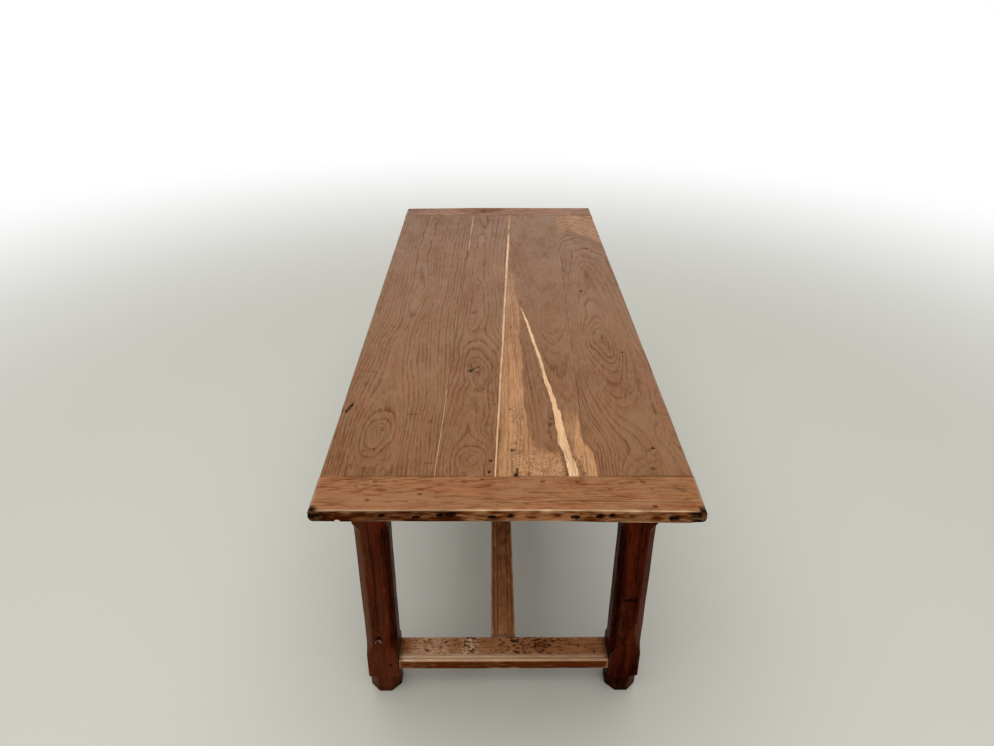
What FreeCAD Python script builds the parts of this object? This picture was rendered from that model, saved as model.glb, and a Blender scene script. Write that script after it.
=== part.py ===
import FreeCAD, Part
import math
import os
import re

import Sketcher

# Farmhouse table: a plank top held flat by a breadboard at each end, on four stop-chamfered legs.
# Aprons tenoned into the legs carry the top, and an H-shaped stretcher ties the legs near the floor.
# Every joint is a mortise and tenon or a tongue and groove, locked by wooden pegs.
# Millimetres. +X is to the right, +Y runs along the table to its far end and +Z is up.
# The origin is on the floor, below the middle of the top.

# Driving dimensions: each size, with what it measures.
SIZES = {
    "table_height": (760, "floor to the upper face of the top"),
    "top_length": (2000, "top, along Y"),
    "top_width": (770, "boards of the top together, along X"),
    "top_thick": (28, "boards and breadboards"),
    "end_overhang": (188, "end of the top to the legs' outer faces"),
    "side_overhang": (36, "side of the top to the legs' outer faces"),
    "breadboard_width": (108, "breadboard, along Y"),
    "breadboard_proud": (3, "breadboard, past each side of the boards, which have shrunk"),
    "breadboard_corner": (7, "radius of a breadboard's worn outer corners"),
    "board_tongue_thick": (10, "tongue across the end of each board"),
    "board_tongue_length": (26, "tongue, from the board's shoulder"),
    "groove_stop": (36, "solid wood left at each end of a breadboard's groove"),
    "left_gap": (2.4, "shrinkage gap at the first seam, filled by a slip"),
    "middle_gap_near": (4, "shrinkage gap at the second seam, near end"),
    "middle_gap_far": (10, "shrinkage gap at the second seam, far end"),
    "right_gap": (0.4, "hairline at the third seam"),
    "loose_tongue_thick": (8, "loose tongue between two boards"),
    "loose_tongue_bite": (12, "loose tongue, into each board"),
    "inlay_length": (855, "inlay in the split board, along Y"),
    "inlay_width": (22, "inlay where it meets the near breadboard"),
    "inlay_depth": (7, "inlay, into the board"),
    "leg_side": (80, "square section of a leg"),
    "shaft_chamfer": (19, "chamfer on the corners of a leg's shaft"),
    "shaft_stop": (33, "curved stop at each end of a shaft's chamfer"),
    "foot_chamfer": (24, "chamfer on the corners of a foot"),
    "foot_stop": (12, "curved stop at the top of a foot's chamfer"),
    "square_below_apron": (25, "square wood on a leg below the aprons"),
    "square_above_stretcher": (24, "square wood on a leg above the stretcher"),
    "square_below_stretcher": (26, "square wood on a leg below the stretcher"),
    "apron_height": (140, "aprons, along Z"),
    "apron_thick": (28, "aprons, through their thickness"),
    "apron_setback": (6, "legs' outer faces to the aprons' outer faces"),
    "apron_tenon_thick": (10, "apron tenon, through its thickness"),
    "wood_between_mortises": (9.8, "end of one apron's mortise to the side of the other's, in a leg"),
    "apron_tenon_top": (26, "apron's top edge to its tenon"),
    "apron_tenon_bottom": (14, "apron's lower edge to its tenon"),
    "stretcher_top": (114, "floor to the stretchers' upper faces"),
    "stretcher_thick": (31, "stretchers, along Z"),
    "cross_stretcher_width": (76, "cross stretchers, along Y"),
    "long_stretcher_width": (64, "long stretcher, along X"),
    "stretcher_tenon_thick": (16, "stretcher tenon, along Z"),
    "stretcher_tenon_shoulder": (12, "shoulder at each side of a stretcher tenon"),
    "cross_tenon_length": (46, "cross stretcher's tenon, into a leg"),
    "long_tenon_length": (40, "long stretcher's tenon, into a cross stretcher"),
    "bead_width": (7, "each of the two flat beads along a moulded edge"),
    "quirk_width": (2.6, "scratched groove beside each bead"),
    "quirk_depth": (1.8, "scratched groove, into the upper face"),
    "arris_chamfer": (2, "eased corner of a moulded edge"),
    "joint_clearance": (0.2, "each side of a tongue in its groove or a tenon in its mortise"),
    "end_clearance": (2, "past the end of a tongue or tenon"),
    "frame_peg_diameter": (10, "pegs through the frame's tenons"),
    "frame_peg_inset": (22, "tenon's shoulder to its peg"),
    "frame_peg_proud": (0.8, "frame pegs, out of the wood"),
    "apron_peg_spread": (56, "between the two pegs of an apron tenon"),
    "apron_peg_depth": (42, "side apron pegs, into the leg"),
    "end_peg_back": (38, "end of an end apron peg to the leg's inner face"),
    "stretcher_peg_back": (15, "end of a cross stretcher peg to the leg's inner face"),
    "long_peg_inset": (20, "edge of the cross stretcher to the long stretcher's peg"),
    "long_peg_depth": (30, "long stretcher pegs, into the cross stretcher"),
    "breadboard_peg_diameter": (12, "pegs through the boards' tongues"),
    "breadboard_peg_inset": (16, "board's shoulder to its peg"),
    "top_peg_diameter": (9, "pegs that hold the top down"),
    "leg_peg_bite": (19, "top pegs, into the legs"),
    "leg_peg_offset": (27, "leg's middle to its top peg, towards the end"),
    "apron_peg_bite": (38, "top pegs, into the side aprons"),
    "apron_peg_spacing": (900, "between the two top pegs of a side apron"),
    "peg_clearance": (0.1, "each side of a peg in its hole"),
    "cut_overrun": (5, "how far a cut runs past the wood"),
}

# Where each seam meets the near and the far breadboard: its X over top_width.
SEAM_SHARES = {
    "left": (-0.1935, -0.1351),
    "middle": (-0.0314, 0.0582),
    "right": (0.2169, 0.3026),
}

# Where the inlay's middle line meets the near breadboard, and where its point is: X over top_width.
INLAY_FOOT_SHARE = 0.1818
INLAY_POINT_SHARE = 0.0753

# Outline of the inlay, as shares: along its length from the near end, then the widths left and right
# of its middle line over inlay_width. The point itself has no width.
INLAY_SHARES = [
    (0.0, 0.54, 0.32),
    (0.13, 0.72, 0.40),
    (0.16, 0.56, 0.40),
    (0.285, 0.14, 0.63),
    (0.315, 0.06, 0.49),
    (0.40, 0.00, 0.52),
    (0.50, 0.02, 0.41),
    (0.65, -0.06, 0.47),
    (0.80, 0.00, 0.39),
    (0.93, 0.02, 0.20),
]

LEFT, RIGHT = -1, 1
NEAR, FAR = -1, 1
SIDES = {LEFT: "left", RIGHT: "right"}
ENDS = {NEAR: "near", FAR: "far"}

# Places that follow from the sizes, as expressions.
FRAME_TOP = "(table_height - top_thick)"
TOP_MID = "(table_height - top_thick / 2)"
SHOULDER = "(top_length / 2 - breadboard_width)"
BREADBOARD_END = "(top_width / 2 + breadboard_proud)"
HALF_LEG = "(leg_side / 2)"
LEG_X = "(top_width / 2 - side_overhang - leg_side / 2)"
LEG_Y = "(top_length / 2 - end_overhang - leg_side / 2)"
APRON_MID = "(table_height - top_thick - apron_height / 2)"
APRON_INSET = "(leg_side / 2 - apron_setback - apron_thick / 2)"
MORTISE_SIDE = f"({APRON_INSET} - apron_tenon_thick / 2 - joint_clearance)"
APRON_TENON_LENGTH = f"({HALF_LEG} + {MORTISE_SIDE} - wood_between_mortises - end_clearance)"
STRETCHER_PEG_DEPTH = "(leg_side - stretcher_peg_back)"
END_PEG_DEPTH = "(leg_side - end_peg_back)"
TENON_HEIGHT = "(apron_height - apron_tenon_top - apron_tenon_bottom)"
TENON_MID = "(table_height - top_thick - (apron_height + apron_tenon_top - apron_tenon_bottom) / 2)"
STRETCHER_MID = "(stretcher_top - stretcher_thick / 2)"
CROSS_TENON_WIDTH = "(cross_stretcher_width - 2 * stretcher_tenon_shoulder)"
LONG_TENON_WIDTH = "(long_stretcher_width - 2 * stretcher_tenon_shoulder)"
PEG_FROM_AXIS = "(leg_side / 2 - frame_peg_inset)"
SLIP_DEPTH = "((top_thick - loose_tongue_thick) / 2)"
APRON_PEG_HEIGHTS = [f"({TENON_MID} {sign} apron_peg_spread / 2)" for sign in "+-"]

SIZE_NAME = re.compile(r"[a-z][a-z0-9_]*")

doc = FreeCAD.newDocument("FarmhouseTable")


def make_sheet():
    """Writes the driving dimensions to the document's spreadsheet, each under its own alias."""
    sheet = doc.addObject("Spreadsheet::Sheet", "Sizes")
    for row, (name, (value, note)) in enumerate(SIZES.items(), start=1):
        sheet.set(f"A{row}", name)
        sheet.set(f"B{row}", str(value))
        sheet.set(f"C{row}", note)
        sheet.setAlias(f"B{row}", name)
    doc.recompute()
    return sheet


sizes = make_sheet()


def cells(expression):
    """The expression with each size's name written as its cell."""
    return SIZE_NAME.sub(lambda word: f"Sizes.{word[0]}" if word[0] in SIZES else word[0], expression)


def value_of(expression):
    """The expression's number, in millimetres."""
    return float(sizes.evalExpression(cells(expression)))


def bind(item, **expressions):
    """Binds an object's properties to the sheet. Two underscores stand for the dot in a property's path."""
    for path, expression in expressions.items():
        item.setExpression(path.replace("__", "."), cells(expression))


def place(item, x="0", y="0", z="0"):
    """Binds where an object stands."""
    bind(item, Placement__Base__x=x, Placement__Base__y=y, Placement__Base__z=z)


def new_body(label, **where):
    """An empty body with its own label, standing at a bound place."""
    body = doc.addObject("PartDesign::Body", label)
    body.Label = label
    place(body, **where)
    return body


def origin_feature(body, role):
    """The body's own origin plane or axis of that role."""
    return next(item for item in body.Origin.OriginFeatures if item.Role == role)


def new_sketch(body, name, plane, at="0", turn=0):
    """A sketch on one of the body's origin planes, moved along its normal and turned about its upright."""
    drawn = body.newObject("Sketcher::SketchObject", f"{body.Label}_{name}")
    drawn.AttachmentSupport = [(origin_feature(body, plane), "")]
    drawn.MapMode = "FlatFace"
    upright = FreeCAD.Vector(0, 1, 0)
    drawn.AttachmentOffset = FreeCAD.Placement(FreeCAD.Vector(), FreeCAD.Rotation(upright, turn))
    bind(drawn, AttachmentOffset__Base__z=at)
    return drawn


def bow_between(start, finish, run):
    """The arc that leaves start along the direction run and ends at finish, and whether it turns left."""
    chord = finish - start
    left = FreeCAD.Vector(-run.y, run.x, 0).normalize()
    turns_left = chord.dot(left) > 0
    inward = left if turns_left else left * -1
    radius = chord.dot(chord) / (2 * chord.dot(inward))
    centre = start + inward * radius
    first, last = (start, finish) if turns_left else (finish, start)
    angles = [math.atan2(point.y - centre.y, point.x - centre.x) for point in (first, last)]
    circle = Part.Circle(centre, FreeCAD.Vector(0, 0, 1), radius)
    return Part.ArcOfCircle(circle, *angles), turns_left


def draw_outline(drawn, points, bows=()):
    """Draws a closed outline with every corner bound to the sheet.

    points are (x, y) expressions. An edge listed in bows is an arc that runs on from the straight edge
    before it ("before") or into the one after it ("after").
    """
    bows = dict(bows)
    count = len(points)
    corners = [FreeCAD.Vector(value_of(x), value_of(y), 0) for x, y in points]
    begins, finishes, edges = {}, {}, {}
    for k in range(count):
        here, following = corners[k], corners[(k + 1) % count]
        begins[k], finishes[k] = 1, 2
        if k not in bows:
            edge = Part.LineSegment(here, following)
        elif bows[k] == "before":
            edge, turns_left = bow_between(here, following, here - corners[k - 1])
            begins[k], finishes[k] = (1, 2) if turns_left else (2, 1)
        else:
            edge, turns_left = bow_between(following, here, following - corners[(k + 2) % count])
            begins[k], finishes[k] = (2, 1) if turns_left else (1, 2)
        edges[k] = drawn.addGeometry(edge, False)
    for k in range(count):
        after = (k + 1) % count
        smooth = bows.get(k) == "after" or bows.get(after) == "before"
        kind = "Tangent" if smooth else "Coincident"
        drawn.addConstraint(Sketcher.Constraint(kind, edges[k], finishes[k], edges[after], begins[after]))
    for k, (x, y) in enumerate(points):
        for kind, expression, number in (("DistanceX", x, corners[k].x), ("DistanceY", y, corners[k].y)):
            made = drawn.addConstraint(Sketcher.Constraint(kind, -1, 1, edges[k], begins[k], number))
            drawn.setExpression(f"Constraints[{made}]", cells(expression))


def draw_circle(drawn, diameter, x, y):
    """Draws a circle with its diameter and centre bound to the sheet."""
    centre = FreeCAD.Vector(value_of(x), value_of(y), 0)
    radius = value_of(diameter) / 2
    circle = drawn.addGeometry(Part.Circle(centre, FreeCAD.Vector(0, 0, 1), radius), False)
    wanted = [("DistanceX", x, centre.x), ("DistanceY", y, centre.y)]
    for kind, expression, number in wanted:
        made = drawn.addConstraint(Sketcher.Constraint(kind, -1, 1, circle, 3, number))
        drawn.setExpression(f"Constraints[{made}]", cells(expression))
    made = drawn.addConstraint(Sketcher.Constraint("Diameter", circle, 2 * radius))
    drawn.setExpression(f"Constraints[{made}]", cells(diameter))


def rectangle(x_one, x_two, y_one, y_two):
    """The corners of a rectangle."""
    return [(x_one, y_one), (x_two, y_one), (x_two, y_two), (x_one, y_two)]


def add_pad(body, name, drawn, length, side_type="Symmetric"):
    """Adds wood along the sketch's normal, half of it each way unless side_type says otherwise."""
    pad = body.newObject("PartDesign::Pad", f"{body.Label}_{name}")
    pad.Profile = drawn
    pad.SideType = side_type
    bind(pad, Length=length)
    body.Tip = pad
    doc.recompute()
    return pad


def cut_pocket(body, name, drawn, length):
    """Cuts wood away along the sketch's normal, half of the length each way."""
    before = body.Shape.Volume
    pocket = body.newObject("PartDesign::Pocket", f"{body.Label}_{name}")
    pocket.Profile = drawn
    pocket.SideType = "Symmetric"
    bind(pocket, Length=length)
    body.Tip = pocket
    doc.recompute()
    if not body.Shape.Volume < before:
        raise RuntimeError(f"{pocket.Label} cuts nothing")
    return pocket


def plan_pad(body, name, outlines, height, at="0"):
    """Adds wood drawn in plan, height tall and centred on at."""
    drawn = new_sketch(body, f"{name}_sketch", "XY_Plane", at)
    for outline in outlines:
        draw_outline(drawn, outline)
    return add_pad(body, name, drawn, height)


def plan_pocket(body, name, outlines, height, at="0"):
    """Cuts away wood drawn in plan, height tall and centred on at."""
    drawn = new_sketch(body, f"{name}_sketch", "XY_Plane", at)
    for outline in outlines:
        draw_outline(drawn, outline)
    return cut_pocket(body, name, drawn, height)


def cut_holes(body, name, plane, diameter, centres, length, at="0"):
    """Cuts round holes for pegs, square to one of the body's origin planes and centred on at."""
    drawn = new_sketch(body, f"{name}_sketch", plane, at)
    for x, y in centres:
        draw_circle(drawn, f"{diameter} + 2 * peg_clearance", x, y)
    return cut_pocket(body, name, drawn, length)


def times(sign, expression):
    """The expression, or its negative."""
    return f"{sign} * ({expression})"


# The gap of each seam at the near and the far breadboard, and the seams that each board lies between.
SEAM_GAPS = {
    "left": ("left_gap", "left_gap"),
    "middle": ("middle_gap_near", "middle_gap_far"),
    "right": ("right_gap", "right_gap"),
}
BOARDS = {
    "top_board_left": (None, "left"),
    "top_board_inner_left": ("left", "middle"),
    "top_board_inner_right": ("middle", "right"),
    "top_board_right": ("right", None),
}


def seam_at(seam, end):
    """X of a seam's middle at one end, and its gap there."""
    which = list(ENDS).index(end)
    return f"{SEAM_SHARES[seam][which]} * top_width", SEAM_GAPS[seam][which]


def edge_x(seam, side, end, past="0"):
    """X of a board's edge at one end: side is which side of the board it is on, past is how far beyond."""
    if seam is None:
        return times(side, f"top_width / 2 + {past}")
    middle, gap = seam_at(seam, end)
    return f"({middle} - ({side}) * ({gap} / 2 - ({past})))"


def strip(seam, half_extra, end_back="0"):
    """Plan of a strip along a seam: the gap, with half_extra on each side, between the breadboards."""
    corners = []
    for end, sides in ((NEAR, (LEFT, RIGHT)), (FAR, (RIGHT, LEFT))):
        for side in sides:
            middle, gap = seam_at(seam, end)
            x = f"{middle} + ({side}) * ({gap} / 2 + {half_extra})"
            corners.append((x, times(end, f"{SHOULDER} - {end_back}")))
    return corners


def board_plan(seams):
    """Plan of a board between the breadboards."""
    left, right = seams
    return [
        (edge_x(left, LEFT, NEAR), times(NEAR, SHOULDER)),
        (edge_x(right, RIGHT, NEAR), times(NEAR, SHOULDER)),
        (edge_x(right, RIGHT, FAR), times(FAR, SHOULDER)),
        (edge_x(left, LEFT, FAR), times(FAR, SHOULDER)),
    ]


def tongue_plan(seams, end):
    """Plan of the tongue at one end of a board. At the sides of the top it clears the groove's stop."""
    inset = "-(groove_stop + joint_clearance)"
    left, right = (
        edge_x(seam, side, end, inset if seam is None else "0")
        for seam, side in zip(seams, (LEFT, RIGHT))
    )
    return rectangle(left, right, times(end, SHOULDER), times(end, f"{SHOULDER} + board_tongue_length"))


def board_peg_place(seams, end):
    """(x, y) of the breadboard peg at the middle of a board's end."""
    left, right = (edge_x(seam, side, end) for seam, side in zip(seams, (LEFT, RIGHT)))
    return f"({left} + {right}) / 2", times(end, f"{SHOULDER} + breadboard_peg_inset")


def inlay_plan():
    """Plan of the inlay: up its right edge, round its point and down its left edge."""
    ahead, back = [], []
    slant_share = INLAY_POINT_SHARE - INLAY_FOOT_SHARE
    for along_share, left_share, right_share in INLAY_SHARES:
        middle = f"{INLAY_FOOT_SHARE + along_share * slant_share} * top_width"
        y = f"{along_share} * inlay_length - {SHOULDER}"
        ahead.append((f"{middle} + {right_share} * inlay_width", y))
        back.append((f"{middle} - {left_share} * inlay_width", y))
    point = (f"{INLAY_POINT_SHARE} * top_width", f"inlay_length - {SHOULDER}")
    return ahead + [point] + back[::-1]


def leg_peg_place(side, end):
    """(x, y) of the top peg over a leg."""
    return times(side, LEG_X), times(end, f"{LEG_Y} + leg_peg_offset")


def apron_peg_place(side, end):
    """(x, y) of a top peg over a side apron."""
    return times(side, f"{LEG_X} + {APRON_INSET}"), times(end, "apron_peg_spacing / 2")


def make_board(label, seams):
    """A tapered board, with a tongue at each end and a groove along each jointed edge."""
    body = new_body(label, z=TOP_MID)
    plan_pad(body, "plank", [board_plan(seams)], "top_thick")
    plan_pad(body, "tongues", [tongue_plan(seams, end) for end in ENDS], "board_tongue_thick")
    bite = "loose_tongue_bite + joint_clearance"
    grooves = [strip(seam, bite) for seam in seams if seam]
    plan_pocket(body, "grooves", grooves, "loose_tongue_thick + 2 * joint_clearance")
    pegs = [board_peg_place(seams, end) for end in ENDS]
    cut_holes(body, "tongue_holes", "XY_Plane", "breadboard_peg_diameter", pegs, "top_thick")
    outer_side = LEFT if seams[0] is None else RIGHT
    if None in seams:
        places = [leg_peg_place(outer_side, end) for end in ENDS]
        places += [apron_peg_place(outer_side, end) for end in ENDS]
        cut_holes(body, "top_peg_holes", "XY_Plane", "top_peg_diameter", places, "top_thick + cut_overrun")
    return body


def cut_inlay_bed(body):
    """The recess that the inlay lies in, open to the board's upper face."""
    height = "inlay_depth + cut_overrun"
    middle = "(top_thick - inlay_depth + cut_overrun) / 2"
    plan_pocket(body, "inlay_bed", [inlay_plan()], height, middle)


def make_inlay(label):
    """The pale strip let into the split board."""
    body = new_body(label, z="table_height - inlay_depth / 2")
    plan_pad(body, "strip", [inlay_plan()], "inlay_depth")
    return body


def make_slip(label, seam):
    """A pale slip that fills a shrinkage gap, seated on the loose tongue."""
    body = new_body(label, z=f"table_height - {SLIP_DEPTH} / 2")
    plan_pad(body, "strip", [strip(seam, "0")], SLIP_DEPTH)
    return body


def make_loose_tongue(label, seam):
    """A loose tongue in the grooves of two neighbouring boards."""
    body = new_body(label, z=TOP_MID)
    plan_pad(body, "strip", [strip(seam, "loose_tongue_bite", "joint_clearance")], "loose_tongue_thick")
    return body


def make_breadboard(label, end):
    """The board across the end of the top, grooved for the boards' tongues."""
    body = new_body(label, z=TOP_MID)
    outer = times(end, "top_length / 2")
    inner = times(end, SHOULDER)
    plan_pad(body, "plank", [rectangle(f"-{BREADBOARD_END}", BREADBOARD_END, outer, inner)], "top_thick")
    reach = "top_width / 2 - groove_stop"
    depth = times(end, f"{SHOULDER} + board_tongue_length + end_clearance")
    mouth = times(end, f"{SHOULDER} - cut_overrun")
    groove = [rectangle(f"-({reach})", reach, mouth, depth)]
    plan_pocket(body, "groove", groove, "board_tongue_thick + 2 * joint_clearance")
    pegs = [board_peg_place(seams, end) for seams in BOARDS.values()]
    cut_holes(
        body, "peg_holes", "XY_Plane", "breadboard_peg_diameter", pegs, "top_thick + cut_overrun"
    )
    round_outer_corners(body, end)
    return body


def round_outer_corners(body, end):
    """Rounds the two upright edges at a breadboard's outer corners."""
    half_width = value_of(BREADBOARD_END)
    outer = value_of(times(end, "top_length / 2"))
    names = []
    for number, edge in enumerate(body.Shape.Edges, start=1):
        ends = [vertex.Point for vertex in edge.Vertexes]
        at_corner = [
            math.isclose(abs(point.x), half_width) and math.isclose(point.y, outer) for point in ends
        ]
        if len(ends) == 2 and all(at_corner) and math.isclose(ends[0].x, ends[1].x):
            names.append(f"Edge{number}")
    plank = body.Tip
    fillet = body.newObject("PartDesign::Fillet", f"{body.Label}_corners")
    fillet.Base = (plank, names)
    bind(fillet, Radius="breadboard_corner")
    body.Tip = fillet
    doc.recompute()


def chamfer_corners(body):
    """Cuts the stop chamfers of the shaft and the foot on all four corners of a leg."""
    corner = "leg_side / sqrt(2)"
    outside = f"({corner} + cut_overrun)"
    shaft_face = "(leg_side - shaft_chamfer) / sqrt(2)"
    shaft_low = "(stretcher_top + square_above_stretcher)"
    shaft_high = f"({FRAME_TOP} - apron_height - square_below_apron)"
    foot_face = "(leg_side - foot_chamfer) / sqrt(2)"
    foot_high = "(stretcher_top - stretcher_thick - square_below_stretcher)"
    drawn = new_sketch(body, "chamfer_sketch", "XZ_Plane", turn=45)
    shaft = [
        (shaft_face, f"{shaft_low} + shaft_stop"),
        (shaft_face, f"{shaft_high} - shaft_stop"),
        (corner, shaft_high),
        (outside, shaft_high),
        (outside, shaft_low),
        (corner, shaft_low),
    ]
    draw_outline(drawn, shaft, {1: "before", 5: "after"})
    foot = [
        (foot_face, "-cut_overrun"),
        (foot_face, f"{foot_high} - foot_stop"),
        (corner, foot_high),
        (outside, foot_high),
        (outside, "-cut_overrun"),
    ]
    draw_outline(drawn, foot, {1: "before"})
    pocket = cut_pocket(body, "chamfer", drawn, "2 * leg_side")
    one_corner = body.Shape.Volume
    pattern = body.newObject("PartDesign::PolarPattern", f"{body.Label}_chamfers")
    pattern.Originals = [pocket]
    pattern.Axis = (origin_feature(body, "Z_Axis"), [""])
    pattern.Angle = 360
    pattern.Occurrences = 4
    body.Tip = pattern
    doc.recompute()
    if not body.Shape.Volume < one_corner:
        raise RuntimeError(f"{body.Label} has a chamfer on one corner only")


def mortise_width(sign, middle, width):
    """The two sides of a mortise for a tenon of that width, centred on middle."""
    half = f"({width} / 2 + joint_clearance)"
    return times(sign, f"{middle} - {half}"), times(sign, f"{middle} + {half}")


def mortise_depth(sign, tenon_length):
    """The bottom and mouth of a mortise in a leg's inner face, which faces away from sign."""
    bottom = f"{HALF_LEG} - {tenon_length} - end_clearance"
    return times(-sign, bottom), times(-sign, f"{HALF_LEG} + cut_overrun")


def make_leg(label, side, end):
    """A leg with its mortises for two aprons and a cross stretcher, and the holes of their pegs."""
    body = new_body(label, x=times(side, LEG_X), y=times(end, LEG_Y))
    square = new_sketch(body, "square", "XY_Plane")
    draw_outline(square, rectangle(f"-{HALF_LEG}", HALF_LEG, f"-{HALF_LEG}", HALF_LEG))
    add_pad(body, "post", square, FRAME_TOP, "One side")
    chamfer_corners(body)

    apron_height = f"{TENON_HEIGHT} + 2 * joint_clearance"
    across = mortise_width(side, APRON_INSET, "apron_tenon_thick")
    along = mortise_depth(end, APRON_TENON_LENGTH)
    plan_pocket(body, "side_mortise", [rectangle(*across, *along)], apron_height, TENON_MID)
    along = mortise_width(end, APRON_INSET, "apron_tenon_thick")
    across = mortise_depth(side, APRON_TENON_LENGTH)
    plan_pocket(body, "end_mortise", [rectangle(*across, *along)], apron_height, TENON_MID)
    along = mortise_width(end, "0", CROSS_TENON_WIDTH)
    across = mortise_depth(side, "cross_tenon_length")
    height = "stretcher_tenon_thick + 2 * joint_clearance"
    plan_pocket(body, "stretcher_mortise", [rectangle(*across, *along)], height, STRETCHER_MID)

    inner_y, inner_x = times(-end, PEG_FROM_AXIS), times(-side, PEG_FROM_AXIS)
    side_pegs = [(inner_y, height) for height in APRON_PEG_HEIGHTS]
    end_pegs = [(inner_x, height) for height in APRON_PEG_HEIGHTS]
    blind_holes(body, "side_peg_holes", "YZ_Plane", side_pegs, side, "apron_peg_depth")
    blind_holes(body, "end_peg_holes", "XZ_Plane", end_pegs, -end, END_PEG_DEPTH)
    cross_peg = [(inner_x, STRETCHER_MID)]
    blind_holes(body, "stretcher_peg_hole", "XZ_Plane", cross_peg, -end, STRETCHER_PEG_DEPTH)
    hole = "leg_peg_bite + end_clearance + cut_overrun"
    middle = f"{FRAME_TOP} - (leg_peg_bite + end_clearance - cut_overrun) / 2"
    top_peg = [("0", times(end, "leg_peg_offset"))]
    cut_holes(body, "top_peg_hole", "XY_Plane", "top_peg_diameter", top_peg, hole, middle)
    return body


def blind_holes(body, name, plane, centres, way, depth):
    """Holes for frame pegs, drilled in from a leg's outer face. way is that face's side of the plane."""
    length = f"{depth} + end_clearance + cut_overrun"
    middle = times(way, f"{HALF_LEG} - ({depth} + end_clearance - cut_overrun) / 2")
    cut_holes(body, name, plane, "frame_peg_diameter", centres, length, middle)


def apron_holes(body, plane, reach):
    """The holes of the frame pegs in an apron's two tenons, on each side of its middle."""
    heights = [f"{height} - {APRON_MID}" for height in APRON_PEG_HEIGHTS]
    centres = [(times(sign, reach), height) for sign in ENDS for height in heights]
    cut_holes(body, "tenon_holes", plane, "frame_peg_diameter", centres, "apron_thick")


def make_side_apron(label, side):
    """A rail under the long side of the top, tenoned into two legs."""
    body = new_body(label, x=times(side, f"{LEG_X} + {APRON_INSET}"), z=APRON_MID)
    reach = f"({LEG_Y} - {HALF_LEG})"
    tip = f"({reach} + {APRON_TENON_LENGTH})"
    half = "apron_thick / 2"
    plan_pad(body, "rail", [rectangle(f"-{half}", half, f"-{reach}", reach)], "apron_height")
    half = "apron_tenon_thick / 2"
    tenon_at = f"{TENON_MID} - {APRON_MID}"
    plan_pad(body, "tenons", [rectangle(f"-{half}", half, f"-{tip}", tip)], TENON_HEIGHT, tenon_at)
    apron_holes(body, "YZ_Plane", f"{reach} + frame_peg_inset")
    pegs = [("0", times(end, "apron_peg_spacing / 2")) for end in ENDS]
    hole = "apron_peg_bite + end_clearance + cut_overrun"
    middle = "apron_height / 2 - (apron_peg_bite + end_clearance - cut_overrun) / 2"
    cut_holes(body, "top_peg_holes", "XY_Plane", "top_peg_diameter", pegs, hole, middle)
    return body


def make_end_apron(label, end):
    """A rail under the end of the top, tenoned into two legs."""
    body = new_body(label, y=times(end, f"{LEG_Y} + {APRON_INSET}"), z=APRON_MID)
    reach = f"({LEG_X} - {HALF_LEG})"
    tip = f"({reach} + {APRON_TENON_LENGTH})"
    half = "apron_thick / 2"
    plan_pad(body, "rail", [rectangle(f"-{reach}", reach, f"-{half}", half)], "apron_height")
    half = "apron_tenon_thick / 2"
    tenon_at = f"{TENON_MID} - {APRON_MID}"
    plan_pad(body, "tenons", [rectangle(f"-{tip}", tip, f"-{half}", half)], TENON_HEIGHT, tenon_at)
    apron_holes(body, "XZ_Plane", f"{reach} + frame_peg_inset")
    return body


def moulded_edge(outer, inward):
    """Section points of a moulded upper edge, from the upper face to the outer face.

    outer is the outer face and inward the sign of the way from it into the wood. Two scratched grooves
    leave two flat beads, and the corner is eased.
    """
    top = "stretcher_thick / 2"
    bottom = f"{top} - quirk_depth"
    shares = [
        ("2 * bead_width + 2 * quirk_width", top),
        ("2 * bead_width + 1.5 * quirk_width", bottom),
        ("2 * bead_width + quirk_width", top),
        ("bead_width + quirk_width", top),
        ("bead_width + 0.5 * quirk_width", bottom),
        ("bead_width", top),
        ("arris_chamfer", top),
        ("0", f"{top} - arris_chamfer"),
    ]
    return [(f"{outer} + ({inward}) * ({across})", height) for across, height in shares]


def make_cross_stretcher(label, end):
    """A stretcher between two legs, moulded along its outer upper edge and mortised for the long one."""
    body = new_body(label, y=times(end, LEG_Y), z=STRETCHER_MID)
    outer = times(end, "cross_stretcher_width / 2")
    inner = times(-end, "cross_stretcher_width / 2")
    low, high = "-stretcher_thick / 2", "stretcher_thick / 2"
    span = f"2 * ({LEG_X} - {HALF_LEG})"
    drawn = new_sketch(body, "section", "YZ_Plane")
    draw_outline(drawn, [(outer, low), (inner, low), (inner, high), *moulded_edge(outer, -end)])
    add_pad(body, "rail", drawn, span)
    half_width, half_height = f"({CROSS_TENON_WIDTH} / 2)", "(stretcher_tenon_thick / 2)"
    drawn = new_sketch(body, "tenon_section", "YZ_Plane")
    section = rectangle(f"-{half_width}", half_width, f"-{half_height}", half_height)
    draw_outline(drawn, section)
    add_pad(body, "tenons", drawn, f"{span} + 2 * cross_tenon_length")

    half = f"({LONG_TENON_WIDTH} / 2 + joint_clearance)"
    bottom = times(-end, "cross_stretcher_width / 2 - long_tenon_length - end_clearance")
    mouth = times(-end, "cross_stretcher_width / 2 + cut_overrun")
    height = "stretcher_tenon_thick + 2 * joint_clearance"
    plan_pocket(body, "long_mortise", [rectangle(f"-{half}", half, bottom, mouth)], height)
    reach = f"{LEG_X} - {HALF_LEG} + frame_peg_inset"
    pegs = [(times(side, reach), "0") for side in SIDES]
    cut_holes(body, "tenon_holes", "XZ_Plane", "frame_peg_diameter", pegs, "cross_stretcher_width")
    centre = [("0", times(-end, "cross_stretcher_width / 2 - long_peg_inset"))]
    hole = "long_peg_depth + end_clearance + cut_overrun"
    middle = "stretcher_thick / 2 - (long_peg_depth + end_clearance - cut_overrun) / 2"
    cut_holes(body, "long_peg_hole", "XY_Plane", "frame_peg_diameter", centre, hole, middle)
    return body


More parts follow.
